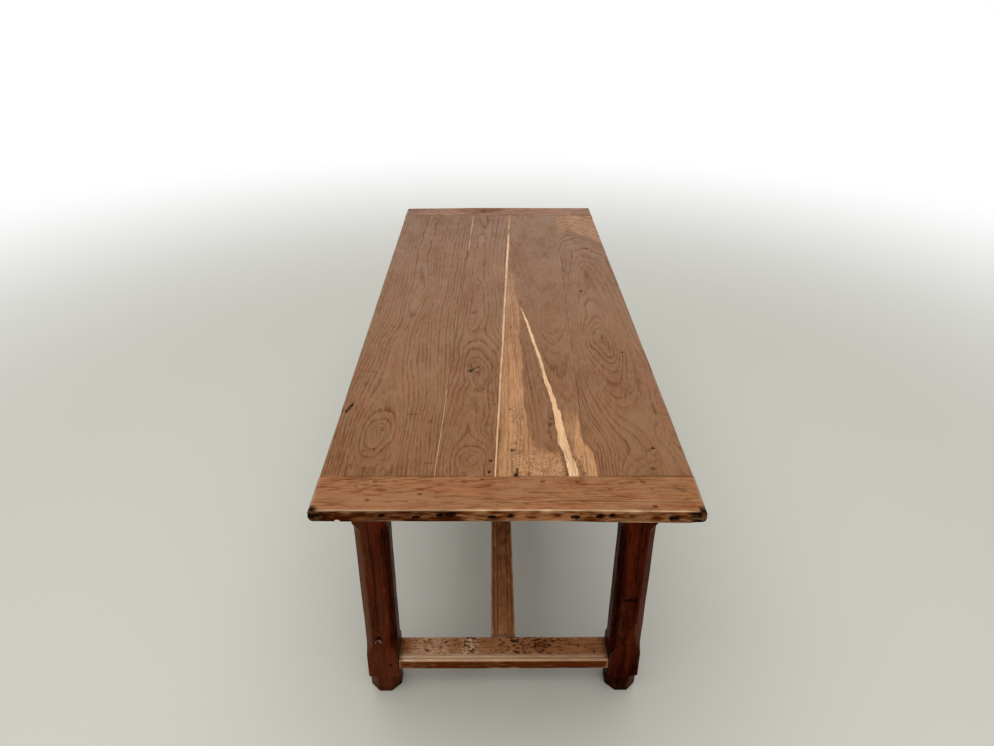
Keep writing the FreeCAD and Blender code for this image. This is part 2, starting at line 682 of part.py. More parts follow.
def make_long_stretcher(label):
    """The stretcher along the middle of the table, moulded along both upper edges."""
    body = new_body(label, z=STRETCHER_MID)
    left, right = "(-long_stretcher_width / 2)", "(long_stretcher_width / 2)"
    low = "-stretcher_thick / 2"
    span = f"2 * ({LEG_Y} - cross_stretcher_width / 2)"
    right_edge = moulded_edge(right, -1)
    left_edge = moulded_edge(left, 1)[::-1]
    drawn = new_sketch(body, "section", "XZ_Plane")
    draw_outline(drawn, [(left, low), *left_edge, *right_edge, (right, low)])
    add_pad(body, "rail", drawn, span)
    half_width, half_height = f"({LONG_TENON_WIDTH} / 2)", "(stretcher_tenon_thick / 2)"
    drawn = new_sketch(body, "tenon_section", "XZ_Plane")
    section = rectangle(f"-{half_width}", half_width, f"-{half_height}", half_height)
    draw_outline(drawn, section)
    add_pad(body, "tenons", drawn, f"{span} + 2 * long_tenon_length")
    reach = f"{LEG_Y} - cross_stretcher_width / 2 + long_peg_inset"
    pegs = [("0", times(end, reach)) for end in ENDS]
    cut_holes(body, "tenon_holes", "XY_Plane", "frame_peg_diameter", pegs, "stretcher_thick")
    return body


def make_pegs(label, diameter, pegs):
    """A group of pegs. Each is the place of its outer end, the way that it goes in and its length."""
    group = doc.addObject("Part::Compound", label)
    group.Label = label
    links = []
    for number, (where, way, length) in enumerate(pegs, start=1):
        peg = doc.addObject("Part::Cylinder", f"{label}_{number}")
        turn = FreeCAD.Rotation(FreeCAD.Vector(0, 0, 1), FreeCAD.Vector(*way))
        peg.Placement = FreeCAD.Placement(FreeCAD.Vector(), turn)
        bind(peg, Radius=f"{diameter} / 2", Height=length)
        place(peg, *where)
        links.append(peg)
    group.Links = links
    doc.recompute()
    return group


def breadboard_pegs(end):
    """One peg through the breadboard and the tongue of each board, flush on both faces."""
    places = [board_peg_place(seams, end) for seams in BOARDS.values()]
    return [((x, y, "table_height"), (0, 0, -1), "top_thick") for x, y in places]


def top_pegs():
    """Pegs down through the outer boards, into the legs and the side aprons."""
    corners = [(side, end) for side in SIDES for end in ENDS]
    found = []
    for side, end in corners:
        x, y = leg_peg_place(side, end)
        found.append(((x, y, "table_height"), (0, 0, -1), "top_thick + leg_peg_bite"))
        x, y = apron_peg_place(side, end)
        found.append(((x, y, "table_height"), (0, 0, -1), "top_thick + apron_peg_bite"))
    return found


def frame_pegs(joint):
    """Pegs into the legs: two for each tenon of the side or end aprons, one for each of a cross stretcher."""
    found = []
    face = f"{HALF_LEG} + frame_peg_proud"
    for side in SIDES:
        for end in ENDS:
            side_x, side_y = times(side, f"{LEG_X} + {face}"), times(end, f"{LEG_Y} - {PEG_FROM_AXIS}")
            end_x, end_y = times(side, f"{LEG_X} - {PEG_FROM_AXIS}"), times(end, f"{LEG_Y} + {face}")
            if joint == "side":
                length = "apron_peg_depth + frame_peg_proud"
                found += [((side_x, side_y, z), (-side, 0, 0), length) for z in APRON_PEG_HEIGHTS]
            elif joint == "end":
                length = f"{END_PEG_DEPTH} + frame_peg_proud"
                found += [((end_x, end_y, z), (0, -end, 0), length) for z in APRON_PEG_HEIGHTS]
            else:
                length = f"{STRETCHER_PEG_DEPTH} + frame_peg_proud"
                found.append(((end_x, end_y, STRETCHER_MID), (0, -end, 0), length))
    return found


def long_stretcher_pegs():
    """A peg down through each cross stretcher into the long stretcher's tenon."""
    reach = f"{LEG_Y} - cross_stretcher_width / 2 + long_peg_inset"
    top = "stretcher_top + frame_peg_proud"
    length = "long_peg_depth + frame_peg_proud"
    return [(("0", times(end, reach), top), (0, 0, -1), length) for end in ENDS]


def make_top():
    """The boards, what fills and joins their seams, the breadboards and all pegs of the top."""
    made = [make_board(label, seams) for label, seams in BOARDS.items()]
    split_board = next(board for board in made if board.Label == "top_board_inner_right")
    cut_inlay_bed(split_board)
    made.append(make_inlay("split_inlay"))
    made += [make_slip(f"seam_slip_{seam}", seam) for seam in ("left", "middle")]
    made += [make_loose_tongue(f"loose_tongue_{seam}", seam) for seam in SEAM_SHARES]
    for end, word in ENDS.items():
        made.append(make_breadboard(f"breadboard_{word}", end))
        pegs = breadboard_pegs(end)
        made.append(make_pegs(f"breadboard_pegs_{word}", "breadboard_peg_diameter", pegs))
    made.append(make_pegs("top_pegs", "top_peg_diameter", top_pegs()))
    return made


def make_frame():
    """The legs, aprons and stretchers, with the pegs of their joints."""
    made = []
    for end, end_word in ENDS.items():
        for side, side_word in SIDES.items():
            made.append(make_leg(f"leg_{end_word}_{side_word}", side, end))
        made.append(make_end_apron(f"end_apron_{end_word}", end))
        made.append(make_cross_stretcher(f"cross_stretcher_{end_word}", end))
    for side, side_word in SIDES.items():
        made.append(make_side_apron(f"side_apron_{side_word}", side))
    made.append(make_long_stretcher("long_stretcher"))
    made.append(make_pegs("side_apron_pegs", "frame_peg_diameter", frame_pegs("side")))
    made.append(make_pegs("end_apron_pegs", "frame_peg_diameter", frame_pegs("end")))
    made.append(make_pegs("cross_stretcher_pegs", "frame_peg_diameter", frame_pegs("stretcher")))
    made.append(make_pegs("long_stretcher_pegs", "frame_peg_diameter", long_stretcher_pegs()))
    return made


def check_and_write(made):
    """Stops if anything failed, then writes each piece to its own STEP file."""
    doc.recompute()
    failed = [item.Name for item in doc.Objects if {"Invalid", "Error"} & set(item.State)]
    failed += [item.Label for item in made if item.Shape.isNull() or not item.Shape.isValid()]
    if failed:
        raise RuntimeError(f"failed: {failed}")
    os.makedirs("parts", exist_ok=True)
    for item in made:
        item.Shape.exportStep(os.path.join("parts", f"{item.Label}.step"))
        box = item.Shape.BoundBox
        size = " x ".join(f"{length:.1f}" for length in (box.XLength, box.YLength, box.ZLength))
        print(f"{item.Label}: {len(item.Shape.Solids)} solid(s), {size} mm")


check_and_write(make_top() + make_frame())
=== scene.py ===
"""Looks of an old farmhouse table: a scrubbed oak plank top on dark waxed legs and worn stretchers."""
import logging
import math
from dataclasses import dataclass, replace
from enum import Enum
from functools import partial
from typing import Mapping, Sequence, Union

import bpy
import numpy as np
from mathutils import Matrix, Vector


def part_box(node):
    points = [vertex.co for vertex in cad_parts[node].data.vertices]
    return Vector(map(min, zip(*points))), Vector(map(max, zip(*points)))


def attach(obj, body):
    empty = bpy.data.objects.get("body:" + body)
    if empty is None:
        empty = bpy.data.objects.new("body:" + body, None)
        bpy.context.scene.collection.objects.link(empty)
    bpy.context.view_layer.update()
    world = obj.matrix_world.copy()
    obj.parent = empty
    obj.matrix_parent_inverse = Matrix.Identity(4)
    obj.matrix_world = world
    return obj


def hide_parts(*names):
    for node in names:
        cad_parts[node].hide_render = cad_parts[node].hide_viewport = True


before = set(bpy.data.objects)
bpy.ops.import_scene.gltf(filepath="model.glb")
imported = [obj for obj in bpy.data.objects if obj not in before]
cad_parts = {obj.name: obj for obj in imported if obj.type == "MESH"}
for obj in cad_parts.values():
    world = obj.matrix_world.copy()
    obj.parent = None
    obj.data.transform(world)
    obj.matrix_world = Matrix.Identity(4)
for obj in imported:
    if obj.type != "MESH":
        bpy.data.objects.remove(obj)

log = logging.getLogger("farmhouse_table")

MM = 0.001
BODY = "root"
Value = Union[float, tuple, bpy.types.NodeSocket, bpy.types.Node]


# Helpers for numbers

# Steps of a whole-number hash
CELL_FACTORS = (0x8DA6B343, 0xD8163841, 0xCB1AB31F)
SEED_FACTOR = 0x9E3779B1
STIRS = ((15, 0x2C1B3C6D), (12, 0x297A2D39), (15, 1))


def linear(hex_colour: str) -> tuple[float, float, float, float]:
    """Turns an sRGB hex colour to linear RGBA.

    Args:
        hex_colour: six hex digits.

    Returns:
        Linear red, green, blue and an alpha of 1.
    """
    parts = [int(hex_colour[k:k + 2], 16) / 255 for k in (0, 2, 4)]
    bent = [c / 12.92 if c <= 0.04045 else ((c + 0.055) / 1.055) ** 2.4 for c in parts]
    return (*bent, 1.0)


def ease(low: float, high: float, x: np.ndarray) -> np.ndarray:
    """Goes smoothly from 0 at low to 1 at high."""
    t = np.clip((x - low) / (high - low), 0, 1)
    return t * t * (3 - 2 * t)


def lattice(cells: np.ndarray, seed: int) -> np.ndarray:
    """Gives each whole-number cell a steady value of its own.

    Args:
        cells: whole numbers, three to a cell.
        seed: picks another set of values.

    Returns:
        One value from -1 to 1 for each cell.
    """
    factors = np.array(CELL_FACTORS, np.uint32)
    key = (cells.astype(np.uint32) * factors).sum(-1, dtype=np.uint32)
    key += np.uint32((seed * SEED_FACTOR) & 0xFFFFFFFF)
    for shift, factor in STIRS:
        key = (key ^ (key >> np.uint32(shift))) * np.uint32(factor)
    return key / 2.0 ** 31 - 1


def noise(points: np.ndarray, size: Union[float, Sequence[float]], seed: int, octaves: int = 1) -> np.ndarray:
    """Smooth noise in space.

    Args:
        points: places in mm, three to a place.
        size: how far apart the bumps are, or how far along each axis, in mm.
        seed: picks another pattern.
        octaves: how many finer layers are added, each half as strong.

    Returns:
        One value for each place, mostly from -1 to 1.
    """
    scaled = points / np.asarray(size, float)
    total = np.zeros(scaled.shape[:-1])
    for octave in range(octaves):
        base = np.floor(scaled)
        part = scaled - base
        part = part * part * (3 - 2 * part)
        cells = base.astype(np.int64)
        for corner in range(8):
            step = np.array([corner & 1, corner >> 1 & 1, corner >> 2])
            share = np.where(step, part, 1 - part).prod(-1)
            total += 0.5 ** octave * share * lattice(cells + step, seed + 31 * octave)
        scaled = scaled * 2
    return total


# Timber: loops of points lofted along its length


class Way(Enum):
    """Which of the table's axes a timber's across, along and up directions follow."""

    LENGTHWISE = (0, 1, 2)
    CROSSWISE = (1, 0, 2)
    UPRIGHT = (0, 2, 1)

    @property
    def mirrored(self) -> bool:
        """Whether this order of the axes turns a skin inside out."""
        return self is not Way.LENGTHWISE


class Mark(Enum):
    """What is painted on a skin, point by point, for its finish to read."""

    TONE = "tone"
    # Pale wood, such as sapwood and worn patches, and also painted highlights
    PALE = "pale"
    GRIME = "grime"
    # Wear, and also painted sheen and highlights in the worn colour
    WEAR = "wear"
    WORM = "worm"
    FADE = "fade"


@dataclass(frozen=True)
class Knot:
    """A place where the rings bulge round a branch, by across and along in mm from the timber's middle."""

    across: float
    along: float
    radius: float
    bulge: float
    stretch: float = 2.6


@dataclass(frozen=True)
class Grain:
    """Growth-ring lines drawn on a board's face: a number for each, and the places in mm that it passes.

    per_line is how many rings lie between two numbers, and unrest how far, in rings, they stray. stretch is
    what a length along the board counts beside one across it, and slack how loosely the rings keep to lines.
    """

    lines: tuple[tuple[float, tuple[tuple[float, float], ...]], ...]
    per_line: float = 1.0
    unrest: float = 0.16
    stretch: float = 0.4
    slack: float = 0.002

    def count(self, across: np.ndarray, along: np.ndarray) -> np.ndarray:
        """Counts the rings between the drawn lines, as a sheet of thin metal bends through them.

        Args:
            across: places across the board, in mm.
            along: places along the board, in mm.

        Returns:
            The ring count at each place.
        """
        scale = np.array([1, self.stretch]) / 100
        fixed = np.array([place for _, line in self.lines for place in line]) * scale
        values = np.array([number for number, line in self.lines for _ in line], float)
        spots = np.stack([across, along], -1).reshape(-1, 2) * scale
        size = len(fixed)
        system = np.zeros((size + 3, size + 3))
        system[:size, :size] = self.bend(fixed, fixed) + self.slack * np.eye(size)
        system[:size, size:] = np.column_stack([np.ones(size), fixed])
        system[size:, :size] = system[:size, size:].T
        weights = np.linalg.solve(system, np.concatenate([values, np.zeros(3)]))
        sheet = np.column_stack([np.ones(len(spots)), spots]) @ weights[size:]
        sheet += self.bend(spots, fixed) @ weights[:size]
        return self.per_line * sheet.reshape(across.shape)

    @staticmethod
    def bend(spots: np.ndarray, fixed: np.ndarray) -> np.ndarray:
        """How far each fixed place bends the sheet at each spot."""
        apart = ((spots[:, None] - fixed[None]) ** 2).sum(-1)
        return apart * np.log(apart + 1e-9)


@dataclass(frozen=True)
class Log:
    """The tree that a timber was sawn from. Lengths are in mm from the timber's middle."""

    pith: tuple[float, float]
    drift: tuple[float, float]
    ring: float
    wander: float
    seed: int
    knots: tuple[Knot, ...] = ()
    grain: Union[Grain, None] = None

    def rings(self, local: np.ndarray) -> tuple[np.ndarray, np.ndarray]:
        """Counts the growth rings out to each point.

        Args:
            local: across, along and up of each point, in mm.

        Returns:
            The ring count, and the point itself moved with the fibres that bend round it.
        """
        across, along, up = np.moveaxis(local, -1, 0)
        sway = self.wander * noise(local, (170, 420, 170), self.seed, 2)
        lift = self.wander * noise(local, (200, 360, 200), self.seed + 5, 2)
        out = across - self.pith[0] - self.drift[0] * along * MM + sway
        high = up - self.pith[1] - self.drift[1] * along * MM + lift
        radius = np.hypot(out, high)
        if self.grain:
            uneven = self.grain.unrest * noise(local, (60, 190, 60), self.seed + 3, 3)
            radius = self.ring * (self.grain.count(across, along) - 0.05 * up + uneven)
        for knot in self.knots:
            away = ((across - knot.across) / knot.radius) ** 2
            away = away + ((along - knot.along) / (knot.stretch * knot.radius)) ** 2
            radius = radius - knot.bulge * np.exp(-away) + 0.25 * knot.bulge * np.exp(-away / 6)
        # Drawn rings are uneven already, so they stray less than reckoned ones
        stray, unlike = (0.14, 0.2) if self.grain else (0.3, 0.55)
        radius = radius + stray * self.ring * noise(local, (22, 110, 22), self.seed + 9, 2)
        count = radius / self.ring
        seasons = np.stack([count / 3.3, np.zeros_like(count), np.zeros_like(count)], -1)
        count = count + unlike * noise(seasons, 1, self.seed + 13)
        fibres = np.stack([across + sway, along, up + lift], -1)
        return count, fibres


@dataclass(frozen=True)
class Loop:
    """A closed section: over the top from left to right, down the right side, back below and up the left."""

    across: np.ndarray
    up: np.ndarray
    normal: np.ndarray
    arris: np.ndarray


# Points on the arc of an arris
ARC_POINTS = 5
# Stations on a rounded end, as shares of its radius
END_STATIONS = (0, 0.12, 0.4, 0.75, 1.3)
# Rings of points that close an end, as shares of its section, and how far they count as being from an arris
CAP_SHARES = (0.93, 0.8, 0.6, 0.4, 0.2, 0.03)
CAP_REACH = 12.0
# Sizes in mm of what age leaves on a face
PLANE_WAVE = 75.0
RUBBED_PATCH = 60.0
DIRT_PATCH = 35.0
DIRT_REACH = 2.2
TONE_PATCH = 240.0
PIT_RAGS = 5.0


def box_loop(width: float, height: float, rounding: float, steps: tuple[float, float, float],
             columns: Union[np.ndarray, None] = None) -> Loop:
    """Makes the section of a squared timber with eased arrises.

    Args:
        width: across, in mm.
        height: up, in mm.
        rounding: radius of the arrises, in mm.
        steps: spacing of points over the top, down the sides and below, in mm.
        columns: places of the top's points, instead of an even spacing.

    Returns:
        The section, centred on its middle.
    """
    flat = (width - 2 * rounding, height - 2 * rounding)
    corners = [(-1, 1, 180.0), (1, 1, 90.0), (1, -1, 0.0), (-1, -1, -90.0)]
    runs = [(flat[0], steps[0]), (flat[1], steps[1]), (flat[0], steps[2]), (flat[1], steps[1])]
    across, up, normal, arris = [], [], [], []
    for k, (side, top, start) in enumerate(corners):
        centre = np.array([side * flat[0] / 2, top * flat[1] / 2])
        angles = np.radians(start - np.linspace(0, 90, ARC_POINTS))
        turned = np.stack([np.cos(angles), np.sin(angles)], -1)
        arc = centre + rounding * turned
        length, step = runs[k]
        count = max(2, round(length / step))
        share = np.arange(1, count) / count
        if k == 0 and columns is not None:
            share = columns / length + 0.5
        run = np.array([turned[-1][1], -turned[-1][0]])
        face = arc[-1] + np.outer(share * length, run)
        across += [arc[:, 0], face[:, 0]]
        up += [arc[:, 1], face[:, 1]]
        normal += [turned, np.repeat(turned[-1:], len(share), 0)]
        from_middle = rounding * np.abs(np.linspace(-1, 1, ARC_POINTS)) * math.pi / 4
        arris += [from_middle, rounding * math.pi / 4 + np.minimum(share, 1 - share) * length]
    return Loop(np.concatenate(across), np.concatenate(up), np.concatenate(normal), np.concatenate(arris))


def stations(low: float, high: float, step: float, rounding: float) -> np.ndarray:
    """Spaces out places along a timber evenly, and closer where its ends are rounded.

    Args:
        low: one end.
        high: the other end.
        step: about how far apart the places are.
        rounding: radius of the arris round each end.

    Returns:
        The places, from low to high.
    """
    ends = rounding * np.array(END_STATIONS)
    count = max(2, round((high - low - 4 * rounding) / step))
    body = np.linspace(low + 2 * rounding, high - 2 * rounding, count)
    return np.concatenate([low + ends, body, high - ends[::-1]])


@dataclass(frozen=True)
class Pit:
    """A hole, dent or chip in a skin: its middle, its reach along each axis and its depth, in mm."""

    middle: tuple[float, float, float]
    reach: tuple[float, float, float]
    depth: float
    dark: float = 1.0


@dataclass
class Skin:
    """A closed skin in mm, with what is painted on it."""

    points: np.ndarray
    normals: np.ndarray
    local: np.ndarray
    arris: np.ndarray
    mirrored: bool
    marks: dict[Mark, np.ndarray]

    @classmethod
    def loft(cls, way: Way, along: np.ndarray, across: np.ndarray, up: np.ndarray, normal: np.ndarray,
             arris: np.ndarray, middle: Sequence[float], rounding: float) -> "Skin":
        """Lofts sections along a timber and closes its ends.

        Args:
            way: how the timber lies.
            along: the stations, in mm from the timber's middle.
            across: each station's section points, likewise.
            up: each station's section points, likewise.
            normal: the section points' outward directions.
            arris: the section points' distances from the nearest arris.
            middle: the timber's middle in the table's frame, in mm.
            rounding: radius of the arris round each end.

        Returns:
            The skin.
        """
        count = len(along)
        shape = (count, across.shape[-1])
        across, up, arris = (np.broadcast_to(a, shape).copy() for a in (across, up, arris))
        normal = np.broadcast_to(normal, (*shape, 2))
        inside = np.minimum(along - along[0], along[-1] - along)
        short = np.clip(rounding - inside, 0, rounding)
        inset = (rounding - np.sqrt(rounding ** 2 - short ** 2))[:, None]
        across -= normal[..., 0] * inset
        up -= normal[..., 1] * inset
        arris = np.minimum(arris, inside[:, None] + 0.4 * rounding)
        caps = len(CAP_SHARES)
        order = np.concatenate([np.zeros(caps, int), np.arange(count), np.full(caps, count - 1)])
        share = np.concatenate([CAP_SHARES[::-1], np.ones(count), CAP_SHARES])[:, None]
        centre = [(a.max(1, keepdims=True) + a.min(1, keepdims=True))[order] / 2 for a in (across, up)]
        across = centre[0] + (across[order] - centre[0]) * share
        up = centre[1] + (up[order] - centre[1]) * share
        arris = arris[order] + (1 - share) * CAP_REACH
        local = np.stack([across, np.broadcast_to(along[order][:, None], across.shape), up], -1)
        normals = np.stack([normal[order][..., 0], np.zeros_like(across), normal[order][..., 1]], -1)
        normals[:caps], normals[-caps:] = (0, -1, 0), (0, 1, 0)
        points, turned = np.empty_like(local), np.empty_like(local)
        for k, axis in enumerate(way.value):
            points[..., axis] = local[..., k] + middle[axis]
            turned[..., axis] = normals[..., k]
        blank = {mark: np.zeros(across.shape) for mark in Mark}
        return cls(points, turned, local, arris, way.mirrored, blank)

    def push(self, distance: np.ndarray) -> None:
        """Moves the skin outwards along its normals, by mm."""
        self.points = self.points + self.normals * distance[..., None]

    def paint(self, mark: Mark, amount: np.ndarray) -> None:
        """Paints over a mark where amount is stronger than what is there."""
        self.marks[mark] = np.maximum(self.marks[mark], amount)

    def weather(self, seed: int, planing: float, wear: float, grime: float) -> None:
        """Gives a hand-planed face its waves, wears its arrises and darkens them unevenly.

        Args:
            seed: picks the pattern.
            planing: height of the waves, in mm.
            wear: most that an arris has lost, in mm.
            grime: how dark the dirt beside the arrises is.
        """
        waves = noise(self.points, PLANE_WAVE, seed, 2)
        rub = 0.5 + 0.5 * noise(self.points, RUBBED_PATCH, seed + 3, 3)
        near = np.exp(-self.arris / (1.5 + 1.5 * wear))
        self.push(planing * waves - wear * near * rub ** 2)
        self.paint(Mark.WEAR, near * ease(0.35, 0.8, rub))
        dirt = 0.5 + 0.5 * noise(self.points, DIRT_PATCH, seed + 7, 3)
        self.paint(Mark.GRIME, grime * np.exp(-self.arris / DIRT_REACH) * ease(0.25, 0.8, dirt))
        self.marks[Mark.TONE] += 0.22 * noise(self.points, TONE_PATCH, seed + 11, 2)

    def dig(self, pits: Sequence[Pit]) -> None:
        """Cuts ragged holes, dents and chips, and darkens them.

        Args:
            pits: what is cut.
        """
        ragged = 0.2 * noise(self.points, PIT_RAGS, 77, 2)
        for pit in pits:
            away = np.linalg.norm((self.points - pit.middle) / pit.reach, axis=-1)
            away = away + ragged * (away < 2)
            self.push(-pit.depth * ease(1.0, 0.55, away))
            self.paint(Mark.GRIME, pit.dark * ease(1.1, 0.75, away))


def make_piece(name: str, node: str, skins: Sequence[Skin], grown: Log, finish: "Wood") -> None:
    """Makes a piece of skins that stands for a node, with the marks that its finish reads.

    Args:
        name: the piece's name.
        node: the node that it replaces.
        skins: the piece's closed skins.
        grown: the tree that it was sawn from.
        finish: the finish of its surface.
    """
    mesh = bpy.data.meshes.new(name)
    vertices, corners, totals, first = [], [], [], 0
    for skin in skins:
        rows, around = skin.points.shape[:2]
        grid = first + np.arange(rows * around).reshape(rows, around)
        following = np.roll(grid, -1, 1)
        quads = np.stack([grid[:-1], following[:-1], following[1:], grid[1:]], -1).reshape(-1, 4)
        caps = [grid[0][::-1], grid[-1]]
        if skin.mirrored:
            quads = quads[:, ::-1]
            caps = [cap[::-1] for cap in caps]
        corners += [quads.ravel(), *caps]
        totals += [np.full(len(quads), 4), np.full(2, around)]
        vertices.append(skin.points.reshape(-1, 3))
        first += rows * around
    corner = np.concatenate(corners)
    total = np.concatenate(totals)
    mesh.vertices.add(first)
    mesh.loops.add(len(corner))
    mesh.polygons.add(len(total))
    mesh.vertices.foreach_set("co", (np.concatenate(vertices) * MM).astype(np.float32).ravel())
    mesh.loops.foreach_set("vertex_index", corner.astype(np.int32))
    mesh.polygons.foreach_set("loop_start", np.concatenate([[0], np.cumsum(total)[:-1]]).astype(np.int32))
    mesh.update(calc_edges=True)
    mesh.validate()
    mesh.shade_smooth()
    local = np.concatenate([skin.local.reshape(-1, 3) for skin in skins])
    rings, fibres = grown.rings(local)
    values = {mark.value: np.concatenate([skin.marks[mark].ravel() for skin in skins]) for mark in Mark}
    values["rings"] = rings
    for key, amounts in values.items():
        layer = mesh.attributes.new(key, "FLOAT", "POINT")
        layer.data.foreach_set("value", amounts.astype(np.float32))
    layer = mesh.attributes.new("fibres", "FLOAT_VECTOR", "POINT")
    layer.data.foreach_set("vector", fibres.astype(np.float32).ravel())
    piece = bpy.data.objects.new(name, mesh)
    bpy.context.scene.collection.objects.link(piece)
    mesh.materials.append(finish.material())
    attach(piece, BODY)
    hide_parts(node)
    log.info("%s: %d faces, stands for %s", name, len(total), node)


# Finishes


def add_node(tree: bpy.types.NodeTree, kind: str, settings: Mapping[str, object] = {},
             inputs: Mapping[Union[int, str], Value] = {}) -> bpy.types.Node:
    """Adds a node to a tree.

    Args:
        tree: the node tree.
        kind: the node's type.
        settings: its own properties.
        inputs: its sockets, by name or number, with a value, or the socket or node that is linked to it.

    Returns:
        The node.
    """
    node = tree.nodes.new(kind)
    for key, value in settings.items():
        setattr(node, key, value)
    for key, value in inputs.items():
        if isinstance(value, bpy.types.Node):
            value = value.outputs[0]
        if isinstance(value, bpy.types.NodeSocket):
            tree.links.new(value, node.inputs[key])
        else:
            node.inputs[key].default_value = value
    return node


MATH = "ShaderNodeMath"
VECTOR = "ShaderNodeVectorMath"
PAINTED = "ShaderNodeAttribute"
RANGE = "ShaderNodeMapRange"
BLEND = "ShaderNodeMix"
TIMES = {"operation": "MULTIPLY"}
PLUS = {"operation": "MULTIPLY_ADD"}
LESS = {"operation": "SUBTRACT"}
MOST = {"operation": "MAXIMUM"}
OVER = {"operation": "DIVIDE"}
SMOOTH = {"interpolation_type": "SMOOTHSTEP"}
COLOURS = {"data_type": "RGBA"}
# How dark a ring is from one year's start to the next
RING_PROFILE = ((0.0, 0.1), (1.0, 0.05), (0.06, 1.0), (0.2, 0.9), (0.34, 0.35), (0.6, 0.12))
# Cells of the worm holes, in mm, with holes about twice as wide as real ones, so that they show
WORM_CELL = (4.4, 6.2, 4.4)
# Sheen of the palest wood, as a multiple of the finish's specular level
PALE_SHINE = 1.25


@dataclass(frozen=True)
class Wood:
    """Oak under old wax, sawn and planed by hand.

    Each year's early wood is a darker line with a sharp inner edge, broken along its length. Open pores
    draw short dark dashes along the fibres, rays draw pale ones, and wax leaves a soft sheen that the pores
    and the dirt break up.
    """

    name: str
    late: str
    early: str
    warm: str
    pale: str
    grime: str
    worn: str
    contrast: float
    roughness: float
    specular: float
    figure: float = 0.9
    blotch: float = 0.6
    relief: float = 0.3
    jag: float = 0.9
    pore_width: float = 1.1
    pore_length: float = 15.0
    dulling: float = 1.0

    def material(self) -> bpy.types.Material:
        """Gives the finish's material, made once."""
        return bpy.data.materials.get(self.name) or self.mix()

    def streaks(self) -> dict[str, tuple[float, float, float]]:
        """The marks drawn out along the fibres: width and length in mm, and how finely they are broken up."""
        # Pores and rays are drawn four times or more as wide as they are, so that they show
        return {
            "jags": (4.0, 38.0, 2.0), "breaks": (11.0, 70.0, 2.0), "hairs": (2.0, 60.0, 3.0),
            "pores": (self.pore_width, self.pore_length, 2.0), "rays": (1.8, 32.0, 1.0),
            "figure": (5.0, 32.0, 4.0), "cloud": (50.0, 130.0, 3.0), "hue": (45.0, 160.0, 2.0),
            "bored": (8.0, 18.0, 2.0), "dirt": (2.5, 7.0, 2.0),
        }

    def mix(self) -> bpy.types.Material:
        """Builds the finish's nodes.

        Returns:
            The material.
        """
        material = bpy.data.materials.new(self.name)
        material.use_nodes = True
        tree = material.node_tree
        tree.nodes.clear()
        put = partial(add_node, tree)
        marks = {mark: put(PAINTED, {"attribute_name": mark.value}).outputs["Fac"] for mark in Mark}
        rings = put(PAINTED, {"attribute_name": "rings"}).outputs["Fac"]
        fibres = put(PAINTED, {"attribute_name": "fibres"}).outputs["Vector"]
        streak = {}
        for key, (width, length, detail) in self.streaks().items():
            place = put(VECTOR, OVER, {0: fibres, 1: (width, length, width)})
            found = put("ShaderNodeTexNoise", {},
                        {"Vector": place, "Scale": 1.0, "Detail": detail, "Roughness": 0.6})
            streak[key] = put(MATH, LESS, {0: found, 1: 0.5})

        # Growth rings: a line for each year, stronger in some years and broken along its length
        jagged = put(MATH, PLUS, {0: streak["jags"], 1: self.jag, 2: rings})
        ramp = put("ShaderNodeValToRGB", {}, {0: put(MATH, {"operation": "FRACT"}, {0: jagged})})
        stops = ramp.color_ramp.elements
        for place, grey in RING_PROFILE:
            stop = stops[int(place)] if place in (0.0, 1.0) else stops.new(place)
            stop.color = (grey, grey, grey, 1.0)
        number = put(MATH, {"operation": "FLOOR"}, {0: jagged})
        year = put("ShaderNodeTexWhiteNoise", {"noise_dimensions": "1D"}, {"W": number}).outputs["Value"]
        year = put(RANGE, SMOOTH, {0: year, 1: 0.0, 2: 1.0, 3: 0.5, 4: 1.1})
        breaks = put(RANGE, SMOOTH, {0: streak["breaks"], 1: -0.2, 2: 0.12, 3: 0.45, 4: 1.1})
        band = put(MATH, TIMES, {0: put(MATH, TIMES, {0: ramp, 1: year}), 1: breaks})
        clear = put(MATH, PLUS, {0: marks[Mark.FADE], 1: -0.85, 2: 1.0})
        band = put(MATH, TIMES, {0: band, 1: clear})
        pores = put(RANGE, SMOOTH, {0: streak["pores"], 1: 0.06, 2: 0.18})
        pores = put(MATH, TIMES, {0: pores, 1: put(MATH, PLUS, {0: band, 1: 0.7, 2: 0.3})})
        rays = put(RANGE, SMOOTH, {0: streak["rays"], 1: 0.09, 2: 0.2})

        # How dark the wood is, and its colour
        dark = put(MATH, PLUS, {0: band, 1: self.contrast, 2: 0.2})
        for value, amount in ((pores, 0.5), (streak["hairs"], 0.9), (streak["figure"], self.figure),
                              (streak["cloud"], self.blotch), (rays, -0.5), (marks[Mark.TONE], -1.0)):
            dark = put(MATH, PLUS, {0: value, 1: amount, 2: dark})
        dark = put("ShaderNodeClamp", {}, {0: dark})
        hue = put(RANGE, SMOOTH, {0: streak["hue"], 1: -0.1, 2: 0.14})
        colour = put(BLEND, COLOURS, {0: hue, 6: linear(self.late), 7: linear(self.warm)}).outputs[2]
        colour = put(BLEND, COLOURS, {0: dark, 6: colour, 7: linear(self.early)}).outputs[2]
        sap = put(MATH, TIMES, {0: dark, 1: 0.75})
        sap = put(BLEND, COLOURS, {0: sap, 6: linear(self.pale), 7: linear(self.late)}).outputs[2]
        colour = put(BLEND, COLOURS, {0: marks[Mark.PALE], 6: colour, 7: sap}).outputs[2]
        rubbed = put(RANGE, SMOOTH, {0: streak["hairs"], 1: -0.15, 2: 0.1, 3: 0.45, 4: 1.0})
        rubbed = put(MATH, TIMES, {0: marks[Mark.WEAR], 1: rubbed})
        colour = put(BLEND, COLOURS, {0: rubbed, 6: colour, 7: linear(self.worn)}).outputs[2]

